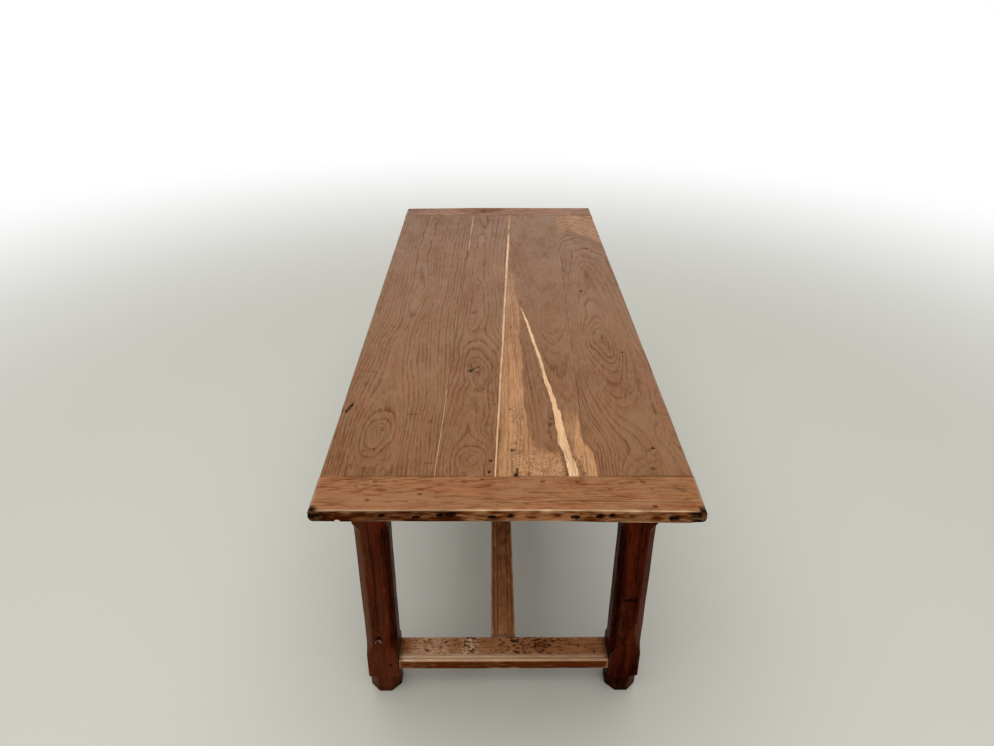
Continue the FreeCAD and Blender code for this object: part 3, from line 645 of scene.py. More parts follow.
        # Worm holes, and dirt
        place = put(VECTOR, OVER, {0: fibres, 1: WORM_CELL})
        holes = put("ShaderNodeTexVoronoi", {}, {"Vector": place, "Scale": 1.0}).outputs["Distance"]
        holes = put(RANGE, SMOOTH, {0: holes, 1: 0.28, 2: 0.56, 3: 1.0, 4: 0.0})
        eaten = put(RANGE, SMOOTH, {0: streak["bored"], 1: -0.24, 2: -0.02})
        holes = put(MATH, TIMES, {0: put(MATH, TIMES, {0: holes, 1: eaten}), 1: marks[Mark.WORM]})
        dirt = put(MATH, TIMES, {0: holes, 1: 0.6})
        dirt = put(MATH, MOST, {0: marks[Mark.GRIME], 1: dirt})
        patchy = put(RANGE, SMOOTH, {0: streak["dirt"], 1: -0.3, 2: 0.0, 3: 0.75, 4: 1.0})
        dirt = put(MATH, TIMES, {0: dirt, 1: patchy})
        colour = put(BLEND, COLOURS, {0: dirt, 6: colour, 7: linear(self.grime)}).outputs[2]

        # Wax fills the face, and the pores, dirt and clouds dull it. Dark wood and dirt shine least
        rough = put(MATH, PLUS, {0: pores, 1: 0.15, 2: self.roughness})
        rough = put(MATH, PLUS, {0: streak["cloud"], 1: 0.25, 2: rough})
        rough = put(MATH, PLUS, {0: dirt, 1: 0.2, 2: rough})
        least = PALE_SHINE - self.dulling
        shine = put(RANGE, {}, {0: dark, 3: PALE_SHINE * self.specular, 4: least * self.specular})
        shine = put(MATH, MOST, {0: shine, 1: 0.0})
        shine = put(MATH, TIMES, {0: shine, 1: put(MATH, LESS, {0: 1.0, 1: dirt})})
        hollow = put(MATH, TIMES, {0: band, 1: 0.5})
        for value, amount in ((pores, 0.5), (streak["hairs"], 0.3), (streak["figure"], 0.5), (holes, 2.0)):
            hollow = put(MATH, PLUS, {0: value, 1: amount, 2: hollow})
        bump = put("ShaderNodeBump", {"invert": True}, {"Distance": self.relief * MM, "Height": hollow})
        shader = put("ShaderNodeBsdfPrincipled", {}, {
            "Base Color": colour, "Roughness": rough, "Normal": bump, "IOR": 1.5, "Specular IOR Level": shine,
        })
        put("ShaderNodeOutputMaterial", {}, {0: shader})
        return material


# Oak boards scrubbed and waxed for generations: grey-brown, with darker ring lines and a low sheen
SCRUBBED_OAK = Wood("scrubbed_oak", late="7F5427", early="643A17", warm="835229", pale="C89160",
                    grime="140D09", worn="A27650", contrast=0.85, roughness=0.42, specular=0.33, figure=1.2,
                    blotch=0.7, jag=0.3)
# The breadboards are a redder oak, with a hand-rubbed face and a pale line where the arris is worn, also a
# painted highlight; the worn colour paints a sheen on the rounded ends too
BREADBOARD_OAK = replace(SCRUBBED_OAK, name="breadboard_oak", late="905E33", early="491900", warm="945B2F",
                         worn="DDB78C", contrast=0.35, roughness=0.38, specular=0.24, jag=0.9, dulling=1.75)
# Newer oak let into the gaps: much paler, nearly straight in the grain, and matt
SLIP_OAK = Wood("slip_oak", late="E0B38C", early="A4764C", warm="DDB18E", pale="E6C6A0", grime="5E3F27",
                worn="DDBB92", contrast=0.35, roughness=0.5, specular=0.25, figure=0.6, blotch=0.4)
# The inlay is the palest of all, cut from clean new wood
INLAY_OAK = replace(SLIP_OAK, name="inlay_oak", late="EEC496", early="B98A5C", warm="E9BE92", worn="EEC89C")
# Legs under dark red-brown wax, thick enough to hide most of the grain; the sheen on the outer chamfers is a
# painted reflection in the worn colour
WAXED_LEG = Wood("waxed_leg_oak", late="561B05", early="130302", warm="571905", pale="E3CBB8", grime="080302",
                 worn="6E4A2C", contrast=0.45, roughness=0.3, specular=0.02, figure=1.2, blotch=1.0)
# Aprons under the same wax, never rubbed, so duller
WAXED_APRON = replace(WAXED_LEG, name="waxed_apron_oak", late="5A2A14", roughness=0.42)
# Stretchers that feet have worn: the wax is gone on top and stays, red and dark, on the sides. Their pale and
# worn colours also paint highlights on the moulding and the top arrises
WORN_STRETCHER = Wood("worn_stretcher_oak", late="B58054", early="562507", warm="B2754A", pale="EAC6A6",
                      grime="331A0C", worn="D8A87C", contrast=0.45, roughness=0.36, specular=0.03, blotch=0.8)
# End grain of the pegs, which takes up dirt and stays darker than the board round it
PEG_OAK = Wood("peg_end_oak", late="7C4E2B", early="4A2A14", warm="7E4B2A", pale="9A6F4A", grime="1C110A",
               worn="8A5E3D", contrast=0.5, roughness=0.45, specular=0.1)
# Pegs of the frame, under the same wax as the legs
FRAME_PEG_OAK = replace(PEG_OAK, name="waxed_peg_oak", late="3E1707", early="160703", warm="401606",
                        worn="4A2414", roughness=0.5, specular=0.03, relief=0.08)
# Inner wood that never saw wax or light: pale, dry and matt
RAW_OAK = Wood("raw_inner_oak", late="B08C62", early="7E5C3B", warm="B0885C", pale="C2A176", grime="2A1D12",
               worn="B08C62", contrast=0.5, roughness=0.7, specular=0.3)


# The table's sub-assemblies


# Ring lines of the boards, given in mm across and along the table
LEFT_GRAIN = Grain((
    (0, ((-282, -718),)),
    (1, ((-291, -714), (-287, -732), (-276, -734), (-271, -722), (-278, -705))),
    (2, ((-303, -725), (-298, -765), (-284, -772), (-266, -730), (-270, -697), (-288, -690))),
    (3, ((-317, -735), (-314, -780), (-300, -802), (-284, -795), (-271, -760), (-258, -720), (-262, -684),
         (-285, -670), (-308, -686))),
    (4, ((-326, -735), (-322, -800), (-306, -830), (-280, -820), (-262, -790), (-250, -750), (-250, -700),
         (-256, -650), (-275, -620), (-308, -640))),
    (5, ((-336, -740), (-332, -810), (-318, -850), (-310, -892))),
    (5, ((-292, -892), (-285, -870), (-276, -865), (-271, -892))),
    (6, ((-264, -892), (-262, -872), (-256, -868), (-249, -892))),
    (5, ((-250, -840), (-243, -790), (-239, -745), (-242, -690), (-248, -620), (-262, -540), (-290, -520),
         (-315, -580))),
    (7, ((-226, -892), (-228, -800), (-226, -720), (-228, -640), (-234, -560), (-238, -480), (-250, -380),
         (-255, -250))),
    (9, ((-208, -892), (-210, -780), (-208, -700), (-206, -600), (-214, -480), (-222, -350), (-230, -200))),
    (12, ((-180, -892), (-184, -760), (-188, -700), (-182, -620), (-188, -450), (-196, -300), (-206, -100))),
    (16, ((-152, -892), (-152, -700), (-146, -500), (-152, -300), (-160, -100), (-150, 200), (-140, 500),
          (-128, 880))),
    (7, ((-350, -892), (-352, -800), (-348, -700), (-340, -600), (-332, -500), (-322, -380), (-315, -250))),
    (9, ((-364, -880), (-366, -760), (-364, -660), (-356, -540), (-346, -400), (-338, -250))),
    (12, ((-383, -892), (-383, -600), (-376, -450), (-368, -300))),
    (5, ((-285, -420), (-282, -350), (-278, -250))),
    (6, ((-262, -150), (-250, -50), (-240, 60), (-246, 200), (-262, 330), (-270, 480), (-262, 650),
         (-250, 880))),
    (8, ((-310, -150), (-305, 0), (-300, 150), (-306, 300), (-314, 480), (-306, 700), (-300, 880))),
    (12, ((-350, -150), (-346, 0), (-342, 200), (-346, 450), (-344, 700), (-340, 880))),
    (16, ((-383, -100), (-382, 200), (-383, 500), (-383, 880))),
    (10, ((-222, -100), (-214, 40), (-212, 200), (-220, 350), (-222, 520), (-214, 700), (-205, 880))),
    (13, ((-190, 0), (-182, 150), (-180, 350), (-184, 520), (-176, 700), (-168, 880))),
), unrest=0.4)
INNER_LEFT_GRAIN = Grain((
    (0, ((-70, -834),)),
    (1, ((-84, -832), (-72, -818), (-58, -832), (-68, -850))),
    (2, ((-98, -828), (-88, -808), (-72, -803), (-57, -812), (-52, -835), (-58, -862), (-72, -862),
         (-88, -850))),
    (3, ((-108, -828), (-98, -795), (-84, -782), (-64, -782), (-50, -795), (-44, -830), (-48, -870),
         (-60, -892))),
    (4, ((-118, -830), (-106, -780), (-92, -740), (-82, -700), (-74, -740), (-58, -760), (-44, -780),
         (-38, -830), (-36, -892))),
    (3, ((-96, -892), (-94, -870), (-84, -872), (-78, -892))),
    (6, ((-132, -892), (-130, -800), (-118, -730), (-108, -660), (-100, -600), (-96, -540))),
    (8, ((-140, -700), (-130, -600), (-122, -520), (-114, -440), (-110, -380), (-112, -300))),
    (5, ((-88, -640), (-84, -580), (-80, -540), (-66, -570), (-62, -640), (-66, -690))),
    (6, ((-50, -740), (-46, -660), (-48, -590), (-54, -540), (-62, -520))),
    (8, ((-28, -880), (-26, -760), (-24, -650), (-26, -560), (-28, -480))),
    (6, ((-90, -480), (-84, -510), (-74, -540))),
    (5, ((-84, -470), (-78, -500), (-68, -520), (-56, -500), (-50, -470))),
    (4, ((-78, -438), (-64, -452), (-60, -430), (-70, -418))),
    (6, ((-96, -440), (-92, -400), (-84, -380), (-66, -372), (-50, -400), (-40, -430), (-36, -470))),
    (7, ((-104, -380), (-96, -340), (-80, -310), (-60, -320), (-40, -370), (-26, -420))),
    (8, ((-100, -280), (-80, -250), (-54, -260), (-30, -310), (-12, -380))),
    (7, ((-86, -180), (-70, -120), (-66, -40), (-74, 40), (-80, 120))),
    (9, ((-112, -150), (-104, 0), (-100, 150), (-98, 300), (-92, 450), (-88, 600), (-84, 880))),
    (9, ((-44, -180), (-36, -80), (-40, 60), (-50, 180), (-56, 320), (-50, 480), (-48, 640), (-44, 880))),
    (12, ((-132, -100), (-122, 100), (-114, 300), (-110, 500), (-106, 700), (-102, 880))),
    (12, ((-8, -150), (-4, 0), (-8, 150), (-12, 300), (-6, 500), (6, 700), (20, 880))),
), unrest=0.25)
# The third board has one arch of rings after another, with its tip towards the near end
ARCH = (
    (-61, 417), (-53, 267), (-45, 167), (-37, 87), (-25, 37), (0, 0), (14, 17), (25, 56), (36, 84),
    (45, 137), (51, 217), (57, 337),
)
ARCH_TIPS = (-561, -417, -333, -265, -200, -100, 0, 133, 260, 400, 560, 740)
ARCH_AT = 143
ARCHES = tuple((k, tuple((ARCH_AT + x, tip + y) for x, y in ARCH)) for k, tip in enumerate(ARCH_TIPS))
INNER_RIGHT_GRAIN = Grain(ARCHES + (
    (-1, ((140, -650), (110, -600), (98, -500), (88, -400), (80, -300), (70, -150), (60, 100))),
    (-2, ((130, -760), (90, -700), (84, -600), (78, -500), (72, -400), (64, -250), (50, 100))),
    (-3, ((110, -860), (76, -800), (74, -700), (70, -600), (66, -500), (60, -350), (50, -100))),
    (-5, ((50, -892), (54, -700), (50, -500), (44, -300), (36, 0))),
    (-8, ((20, -892), (28, -700), (26, -500), (22, -300))),
    (-11, ((-10, -892), (0, -700), (4, -500), (6, -300))),
), unrest=0.25)
RIGHT_GRAIN = Grain((
    (0, ((246, -892), (258, -856), (270, -840), (292, -834), (303, -815), (304, -790), (296, -770),
         (284, -736), (262, -708), (248, -670), (238, -630), (226, -560), (214, -470), (206, -380),
         (202, -300), (202, -200), (206, -100), (212, 0), (222, 100), (236, 200), (252, 300), (270, 390))),
    (1, ((237, -892), (244, -840), (250, -790), (248, -765), (239, -735), (229, -690), (221, -650),
         (210, -580), (202, -510), (195, -400), (194, -250), (197, -100), (203, 0), (211, 100), (222, 200),
         (236, 290), (250, 400))),
    (2, ((226, -892), (228, -845), (232, -800), (228, -765), (221, -735), (211, -700), (203, -670),
         (196, -620), (190, -550), (186, -420), (187, -250), (191, -50), (203, 100), (214, 200), (228, 330))),
    (3, ((216, -892), (217, -850), (220, -800), (217, -770), (210, -738), (200, -712), (191, -680),
         (184, -620))),
    (4, ((206, -892), (208, -850), (211, -800), (206, -772), (196, -745), (187, -718), (178, -660))),
    (5, ((197, -892), (199, -840), (199, -795), (191, -762), (181, -735), (172, -690))),
    (6, ((189, -892), (190, -830), (186, -790), (177, -762))),
    (-1, ((266, -892), (277, -872), (288, -862), (304, -858), (318, -862), (328, -872), (337, -892))),
    (-1, ((212, -380), (224, -460), (236, -540), (252, -605), (272, -650), (287, -676), (296, -674),
          (308, -640), (313, -680), (319, -712), (323, -745), (328, -775), (338, -805))),
    (-2, ((219, -350), (232, -450), (246, -525), (262, -570), (281, -590), (296, -577), (304, -540),
          (312, -480), (324, -400), (334, -300))),
    (-3, ((226, -300), (238, -390), (256, -442), (272, -470), (287, -482), (296, -468), (304, -430),
          (316, -360), (322, -280))),
    (-4, ((240, -250), (255, -330), (274, -385), (290, -400), (302, -370), (308, -300), (308, -200))),
    (-5, ((262, -250), (278, -320), (292, -345), (298, -310), (296, -230))),
    (-1, ((362, -420), (356, -480), (350, -540), (346, -590), (348, -640))),
    (-2, ((378, -690), (362, -696), (352, -712), (347, -738), (352, -760))),
    (-3, ((374, -708), (364, -714), (361, -730), (367, -748))),
    (0, ((372, -480), (368, -560), (366, -620))),
    (-1, ((212, -250), (216, -100), (223, 0), (233, 100), (250, 180))),
    (-2, ((226, -150), (231, -50), (240, 40), (254, 62), (268, 110), (276, 190))),
    (-3, ((252, -120), (262, -40), (280, 10), (294, -20), (300, -120))),
    (-2, ((330, -200), (322, -80), (316, 20), (312, 120), (302, 200), (290, 270))),
    (-1, ((350, -200), (346, -60), (342, 60), (336, 160), (326, 250), (306, 330))),
    (0, ((368, -200), (364, 0), (358, 160), (346, 290), (320, 390))),
    (1, ((240, 470), (280, 500), (330, 500), (372, 440))),
    (2, ((232, 560), (262, 590), (300, 610), (340, 560), (374, 500))),
    (3, ((240, 640), (262, 690), (282, 655), (302, 645), (322, 615), (352, 560))),
    (4, ((238, 700), (264, 735), (284, 705), (304, 690), (330, 660), (362, 600))),
    (5, ((240, 760), (268, 790), (290, 755), (314, 735), (340, 710), (368, 660))),
    (6, ((244, 830), (270, 850), (294, 810), (322, 785), (350, 760), (374, 730))),
), per_line=1.5)
# The trees of the boards, from left to right
BOARD_LOGS = {
    "top_board_left": Log((-290, -66), (10, -40), ring=5.6, wander=17, seed=11, grain=LEFT_GRAIN),
    "top_board_inner_left": Log((-95, -54), (30, -36), ring=5.0, wander=15, seed=23, grain=INNER_LEFT_GRAIN),
    "top_board_inner_right": Log((135, -60), (36, 40), ring=5.2, wander=14, seed=37, grain=INNER_RIGHT_GRAIN),
    "top_board_right": Log((300, -62), (-14, -34), ring=6.4, wander=17, seed=53, grain=RIGHT_GRAIN),
}
# The inlay's left and right edges, then the line that the board's mesh follows past its point
INLAY_LEFT = (
    (-892, 128), (-874, 126.5), (-845, 125.5), (-800, 122), (-784, 117), (-773, 112.5), (-752, 114.5),
    (-718, 115), (-670, 114.5), (-648, 113.5), (-622, 112.8), (-592, 111.5), (-557, 107.8), (-511, 103.4),
    (-464, 98.6), (-418, 96), (-372, 92.6), (-325, 87), (-279, 82.2), (-233, 77), (-186, 72.3),
    (-140, 67.8), (-93, 62.8), (-60, 58.8), (-37, 57.2), (892, 109.2),
)
INLAY_RIGHT = (
    (-892, 147), (-868, 149), (-845, 147), (-821, 141), (-784, 138), (-752, 135.5), (-705, 132),
    (-659, 130.5), (-638, 130.5), (-626, 125), (-588, 124), (-557, 119.3), (-524, 116), (-491, 110.5),
    (-464, 108), (-418, 105.6), (-372, 101.2), (-325, 95.2), (-279, 91), (-233, 85.6), (-186, 80.6),
    (-140, 75.6), (-93, 67.8), (-60, 62.2), (-37, 58.8), (892, 110.8),
)
# The pale patch that crosses the third seam at its near end
PATCH_LEFT = (
    (-894, 166), (-868, 165), (-836, 156), (-809, 149), (-752, 152), (-705, 159), (-641, 167), (-600, 170),
)
PATCH_RIGHT = (
    (-894, 190), (-860, 187), (-815, 184), (-784, 176), (-752, 166), (-705, 166), (-641, 170), (-600, 170),
)
# Where the sapwood beside the second seam ends, and the dark line past it
SAPWOOD_EDGE = (
    (-892, 78), (-851, 73), (-815, 65), (-718, 55), (-648, 50), (-592, 45), (-491, 46), (-336, 53),
    (-210, 52), (-39, 51), (24, 48), (195, 43), (285, 33),
)
SAPWOOD_LINE = ((-650, 74), (-561, 69), (-517, 65), (-389, 59), (-250, 51))
# Holes, dents and chips of the boards: place across, along and below the top, reach, depth and darkness
BOARD_PITS = {
    "top_board_left": (
        (-371, -638, 0, (3, 11, 4), 1.8), (-367, -625, 0, (3, 11, 4), 2.2),
        (-363, -611, 0, (3, 10, 4), 1.8), (-313, -183, 0, (3, 3.5, 4), 1.5),
        (-384, -640, 6, (4, 22, 12), 2.5, 0.8), (-279, -719, 0, (3.5, 5, 3), 0.6, 0.6),
        (-285, -793, 0, (3, 5, 3), 0.6, 0.7), (-344, -515, 0, (5, 14, 3), 0.3, 0.45),
        (-214, -653, 0, (16, 2, 3), 0.3, 0.4), (-166, -848, 0, (14, 2.5, 3), 0.4, 0.45),
        (-172, -682, 0, (5, 10, 3), 0.3, 0.35), (-298, -860, 0, (5, 5, 3), 0.3, 0.4),
        (-326, -855, 0, (4, 12, 3), 0.3, 0.35),
    ),
    "top_board_inner_left": (
        (-85, -441, 0, (7, 10, 3), 1.0, 0.85), (-70, -447, 0, (13, 3, 3), 0.4, 0.5),
        (-78, -434, 0, (4, 5, 3), 0.5, 0.6), (-72, -428, 0, (4, 5, 3), 0.5, 0.55),
        (-66, -423, 0, (4, 5, 3), 0.4, 0.45), (-85, -413, 0, (2.6, 24, 3), 0.4, 0.45),
        (-75, -482, 0, (2.6, 26, 3), 0.4, 0.3), (-32, -836, 0, (4, 5, 4), 2.0),
        (-36, -876, 0, (3, 5, 4), 2.0), (-22, -608, 0, (12, 2.5, 3), 0.3, 0.35),
        (-52, -535, 0, (6, 7, 3), 0.3, 0.35), (-84, -80, 0, (7, 9, 3), 0.4, 0.4),
        (-72, 130, 0, (6, 7, 3), 0.4, 0.4),
    ),
    "top_board_inner_right": (
        (18.5, -885, 0, (6.5, 8, 6), 5.0), (21.5, -873, 0, (3.2, 12, 5), 3.5),
        (14, -797, 0, (4.5, 7, 4), 2.6), (13, -630, 0, (3.4, 4, 4), 2.2), (26, -178, 0, (3, 4, 4), 1.6),
        (30, -690, 0, (3, 4, 3), 0.8, 0.7), (34, -478, 0, (44, 1.6, 3), 0.3, 0.25),
        (58, 0, 0, (3, 18, 3), 0.3, 0.4),
    ),
    "top_board_right": (
        (319, -791, 0, (4, 5, 4), 1.6), (318, -815, 0, (4, 5, 3), 0.4, 0.45),
        (306, -866, 0, (6, 8, 3), 0.5, 0.6), (322, -339, 0, (5, 4, 4), 1.2, 0.7),
        (352, -630, 0, (5, 26, 3), 0.3, 0.4), (308, -558, 0, (5, 6, 3), 0.3, 0.35),
        (254, 83, 0, (6, 11, 3), 0.8, 0.7), (319, 487, 0, (3, 6, 4), 1.5),
    ),
}
# How far the rings of each board have faded
BOARD_FADES = {
    "top_board_left": 0.1, "top_board_inner_left": 0.12, "top_board_inner_right": 0.3, "top_board_right": 0.0,
}
# How light a breadboard's outer edge is, by place across, and the course of the crack along it
BREADBOARD_LIGHT = (
    (-380, -0.16), (-110, -0.16), (-70, 0.2), (0, 0.42), (100, 0.46), (130, 0.32), (300, 0.36),
)
BREADBOARD_CRACK = ((-60, 84), (-20, 83), (40, 86), (120, 78), (388, 81))
# Old holes and knots in a breadboard's outer edge: place across, length, height and share of the thickness
EDGE_HOLES = (
    (-245, 8, 6, 0.47), (-178, 10, 5, 0.62), (-132, 8.5, 6, 0.45), (-110, 13, 7, 0.38), (-29, 10, 5, 0.6),
    (6, 7, 4.5, 0.5), (131, 11, 5.5, 0.6), (179, 9, 5.5, 0.5), (204, 7.5, 5, 0.4), (323, 11, 6.5, 0.6),
)
# Dark spots on a breadboard's face: place across, distance from the seam, size and darkness
FACE_SPOTS = (
    (-275, 75, 3.2, 0.75), (-304, 33, 3.4, 0.4), (-285, 28, 3.2, 0.35), (-173, 58, 3.4, 0.75),
    (-51, 8, 3.0, 0.6), (142, 17, 3.4, 0.5), (207, 42, 3.4, 0.4), (291, 41, 3.2, 0.35), (287, 93, 4.2, 0.7),
    (350, 43, 6.0, 0.4), (-20, 92, 2.0, 0.5), (-112, 16, 5.0, 0.3),
)


@dataclass(frozen=True)
class Seam:
    """The line between two boards: its X where it meets each breadboard, and its gap there, in mm."""

    near: float
    far: float
    gap_near: float
    gap_far: float
    ragged: float
    seed: int

    def middle(self, along: np.ndarray, shoulder: float) -> np.ndarray:
        """X of the seam's middle at each place along the table."""
        return np.interp(along, (-shoulder, shoulder), (self.near, self.far))

    def edge(self, along: np.ndarray, shoulder: float, side: int) -> np.ndarray:
        """Finds an edge of the gap, which wanders a little.

        Args:
            along: places along the table.
            shoulder: where the seam meets the breadboards.
            side: -1 for the left edge, 1 for the right one.

        Returns:
            X of the edge at each place.
        """
        gap = np.interp(along, (-shoulder, shoulder), (self.gap_near, self.gap_far))
        spots = np.stack([np.full_like(along, 400.0 * side), along, np.zeros_like(along)], -1)
        wander = self.ragged * noise(spots, (1, 110, 1), self.seed, 3)
        return self.middle(along, shoulder) + side * (gap / 2 + wander)


def node_box(node: str) -> tuple[np.ndarray, np.ndarray]:
    """A node's lowest and highest corners, in mm."""
    low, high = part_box(node)
    return np.array(low) / MM, np.array(high) / MM


@dataclass
class TableTop:
    """The boards, breadboards, slips and inlay of the top.

    Lengths are in mm. The inlay's share and lean are shares of its board's width.
    """

    board_step: float = 3.0
    board_side_step: float = 5.0
    board_under_step: float = 9.0
    station_step: float = 4.5
    arris: float = 0.6
    side_rounding: float = 5.0
    end_rounding: float = 9.0
    inlay_depth: float = 7.0
    left_gap: float = 2.4
    middle_gaps: tuple[float, float] = (4.0, 10.0)
    right_gap: float = 0.4
    board_end_gap: float = 0.1
    slip_end_gap: float = 0.15
    slip_side_gap: float = 0.12
    slip_width: float = 10.0
    sharp_end: float = 0.3
    outer_columns: tuple[float, ...] = (0.7, 1.5, 2.3, 4.4)
    inlay_share: float = 0.05
    inlay_lean: float = 0.0003
    inlay_step: float = 2.5
    inlay_column: float = 0.35
    slip_column: float = 1.2
    slip_side_step: float = 4.0
    breadboard_arris: float = 2.4
    breadboard_columns: tuple[float, float, float] = (2.6, 1.9, 6.0)
    breadboard_step: float = 2.4
    breadboard_end: float = 5.0
    notch_at: float = -331.0
    notch_half: tuple[float, float] = (6.2, 4.4)
    notch_deep: tuple[float, float] = (11.0, 7.0)
    notch_height: float = 5.6
    hang: tuple[float, float] = (6.0, 3.5)
    hang_from: float = 40.0
    char_reach: tuple[float, float] = (22.0, 46.0)
    hole_reach: float = 7.0
    hole_depth: float = 3.6
    spot_stretch: float = 1.7
    spot_reach: float = 4.0
    spot_depth: float = 0.6
    seam_clean: float = 7.0

    def __post_init__(self) -> None:
        """Takes the seams and levels from the frame."""
        near_low, near_high = node_box("breadboard_near")
        self.shoulder = -near_high[1]
        self.half_length = -near_low[1]
        self.half_width = node_box("top_board_right")[1][0]
        self.breadboard_half = near_high[0]
        self.top, self.bottom = near_high[2], near_low[2]
        self.thick = self.top - self.bottom
        low, high = node_box("seam_slip_left")
        gap = self.left_gap
        left = Seam(low[0] + gap / 2, high[0] - gap / 2, gap, gap, ragged=0.4, seed=3)
        low, high = node_box("seam_slip_middle")
        gaps = self.middle_gaps
        middle = Seam(low[0] + gaps[0] / 2, high[0] - gaps[1] / 2, *gaps, ragged=0.6, seed=8)
        low, high = node_box("top_board_right")[0], node_box("top_board_inner_right")[1]
        right = Seam(low[0], high[0], self.right_gap, self.right_gap, ragged=0.0, seed=5)
        self.seams = {"left": left, "middle": middle, "right": right}

    def edge(self, seam: Union[str, None], side: int, along: np.ndarray) -> np.ndarray:
        """Finds a board's edge.

        Args:
            seam: the seam beside it, or None at the side of the top.
            side: -1 for the board's left edge, 1 for its right one.
            along: places along the table.

        Returns:
            X of the edge at each place.
        """
        if seam is None:
            return np.full_like(along, side * self.half_width)
        return self.seams[seam].edge(along, self.shoulder, -side)

    def inlay_edges(self, along: np.ndarray) -> tuple[np.ndarray, np.ndarray, np.ndarray]:
        """Finds the inlay's ragged edges.

        Args:
            along: places along the table.

        Returns:
            X of its left and right edges at each place, and 1 where there is an inlay.
        """
        left, right = (np.interp(along, *zip(*edge)) for edge in (INLAY_LEFT, INLAY_RIGHT))
        spots = np.stack([0 * along, along, 0 * along], -1)
        ragged = np.minimum(1.0, 0.12 * (right - left))
        left = left + ragged * noise(spots, (1, 14, 1), 41, 3)
        right = right + ragged * noise(spots, (1, 14, 1), 47, 3)
        return left, right, (along < node_box("split_inlay")[1][1]).astype(float)

    def round_off(self, skin: Skin, inside: np.ndarray, radius: float, way: int = 1) -> None:
        """Rounds off a corner along an edge.

        Args:
            skin: the board's skin.
            inside: how far each point lies inside the edge.
            radius: radius of the corner.
            way: 1 for the upper corner, -1 for the lower one.
        """
        short = np.clip(radius - inside, 0, radius)
        inset = radius - np.sqrt(radius ** 2 - short ** 2)
        levels = (self.bottom, self.top)[::way]
        skin.points[..., 2] -= way * inset * ease(*levels, skin.points[..., 2])

    def board(self, name: str, seams: tuple[Union[str, None], ...], seed: int) -> None:
        """Makes one board of the top.

        Args:
            name: the board's node.
            seams: the seams on its left and right, or None at the side of the top.
            seed: picks its wear.
        """
        reach = self.shoulder - self.board_end_gap
        along = stations(-reach, reach, self.station_step, self.sharp_end)
        left, right = self.edge(seams[0], -1, along), self.edge(seams[1], 1, along)
        width = float(np.mean(right - left))
        half = width / 2 - self.arris
        columns = np.linspace(-half, half, round(2 * half / self.board_step) + 1)[1:-1]
        if None in seams:
            outer = -1 if seams[0] is None else 1
            columns = np.union1d(columns, outer * (half - np.array(self.outer_columns)))
        reference, actual = np.array([-width / 2, width / 2]), np.stack([left, right])
        if name == "top_board_inner_right":
            begin, end, there = self.inlay_edges(along)
            slot = np.array([-1, 1]) * self.inlay_share * width
            columns = columns[(columns < slot[0] - 1) | (columns > slot[1] + 1)]
            lean = self.inlay_lean * width
            extra = [slot[0], slot[0] + lean, 0.0, slot[1] - lean, slot[1]]
            columns = np.sort(np.concatenate([columns, extra]))
            reference = np.array([-width / 2, *slot, width / 2])
            actual = np.stack([left, begin, end, right])
        steps = (self.board_step, self.board_side_step, self.board_under_step)
        loop = box_loop(width, self.thick, self.arris, steps, columns)
        across = np.stack([np.interp(loop.across, reference, actual[:, k]) for k in range(len(along))])
        up = np.broadcast_to(loop.up, across.shape).copy()
        if name == "top_board_inner_right":
            inside = (loop.across > slot[0]) & (loop.across < slot[1]) & (loop.up > 0)
            up -= np.outer(self.inlay_depth * there, inside)
        middle = (0.0, 0.0, (self.top + self.bottom) / 2)
        skin = Skin.loft(Way.LENGTHWISE, along, across, up, loop.normal, loop.arris, middle, self.sharp_end)
        skin.weather(seed, planing=0.28, wear=0.5, grime=0.55)
        skin.dig([Pit((x, y, self.top - down), *rest) for x, y, down, *rest in BOARD_PITS[name]])
        self.stain(name, skin)
        if None in seams:
            self.round_off(skin, self.half_width - np.abs(skin.points[..., 0]), self.side_rounding)
        make_piece(f"{name}_plank", name, [skin], BOARD_LOGS[name], SCRUBBED_OAK)

    def stain(self, name: str, skin: Skin) -> None:
        """Paints a board's sapwood, worm and old stains.

        Args:
            name: the board's node.
            skin: its skin.
        """
        x, y, z = np.moveaxis(skin.points, -1, 0)
        ragged = noise(skin.points, (26, 60, 26), 91, 3)
        upper = ease(self.bottom + 2, self.top - 4, z)

        # Rings that scrubbing has faded
        faded = np.clip(BOARD_FADES[name] + 0.45 * noise(skin.points, (60, 160, 60), 97, 2), 0, 0.9)
        if name == "top_board_inner_right":
            faded = np.maximum(faded, 0.85 * ease(-260, -130, y) * ease(90, 112, x))
        if name == "top_board_right":
            faded = faded * (1 - ease(310, 240, x) * ease(-480, -620, y)) * ease(640, 560, y)
        skin.paint(Mark.FADE, faded)
        skin.marks[Mark.TONE] -= 0.13 * faded

        # The first and third seams are clean, and the ends at the breadboards are dirty
        if name in ("top_board_inner_right", "top_board_right"):
            self.patch(skin, 4 * ragged, upper)
        if name in ("top_board_left", "top_board_inner_left"):
            self.clean_seam("left", skin, 0.9 * upper * ease(-570, -540, y) * ease(420, 300, y))
        ends = ease(self.shoulder - 3.0, self.shoulder - 1, np.abs(y))
        skin.paint(Mark.GRIME, self.joint_dirt(skin, 0.4) * ends)

        # Sapwood, then each board's own shade, darker below and, as a painted sheen, lighter towards the far
        # end
        if name == "top_board_inner_right":
            self.sapwood(skin, ragged, upper)
        if name == "top_board_right":
            ends = np.interp(x, (232, 262, 300, 345, 385), (630, 690, 650, 600, 530))
            skin.paint(Mark.PALE, 0.4 * ease(0, 36, y - ends + 18 * ragged) * upper)
        shade = {"top_board_inner_left": -0.1 * ease(-560, -740, y), "top_board_inner_right": 0.1}
        # Painted sheen: lighter towards the far end
        shade = shade.get(name, -0.03) + 0.06 * ease(0, 800, y)
        skin.marks[Mark.TONE] += shade - 0.3 * (1 - upper)

    def joint_dirt(self, skin: Skin, most: float) -> np.ndarray:
        """How dark the dirt in the joint of boards and breadboard is, in patches along it."""
        return 0.05 + most * ease(-0.25, 0.3, noise(skin.points, (70, 900, 900), 107, 2))

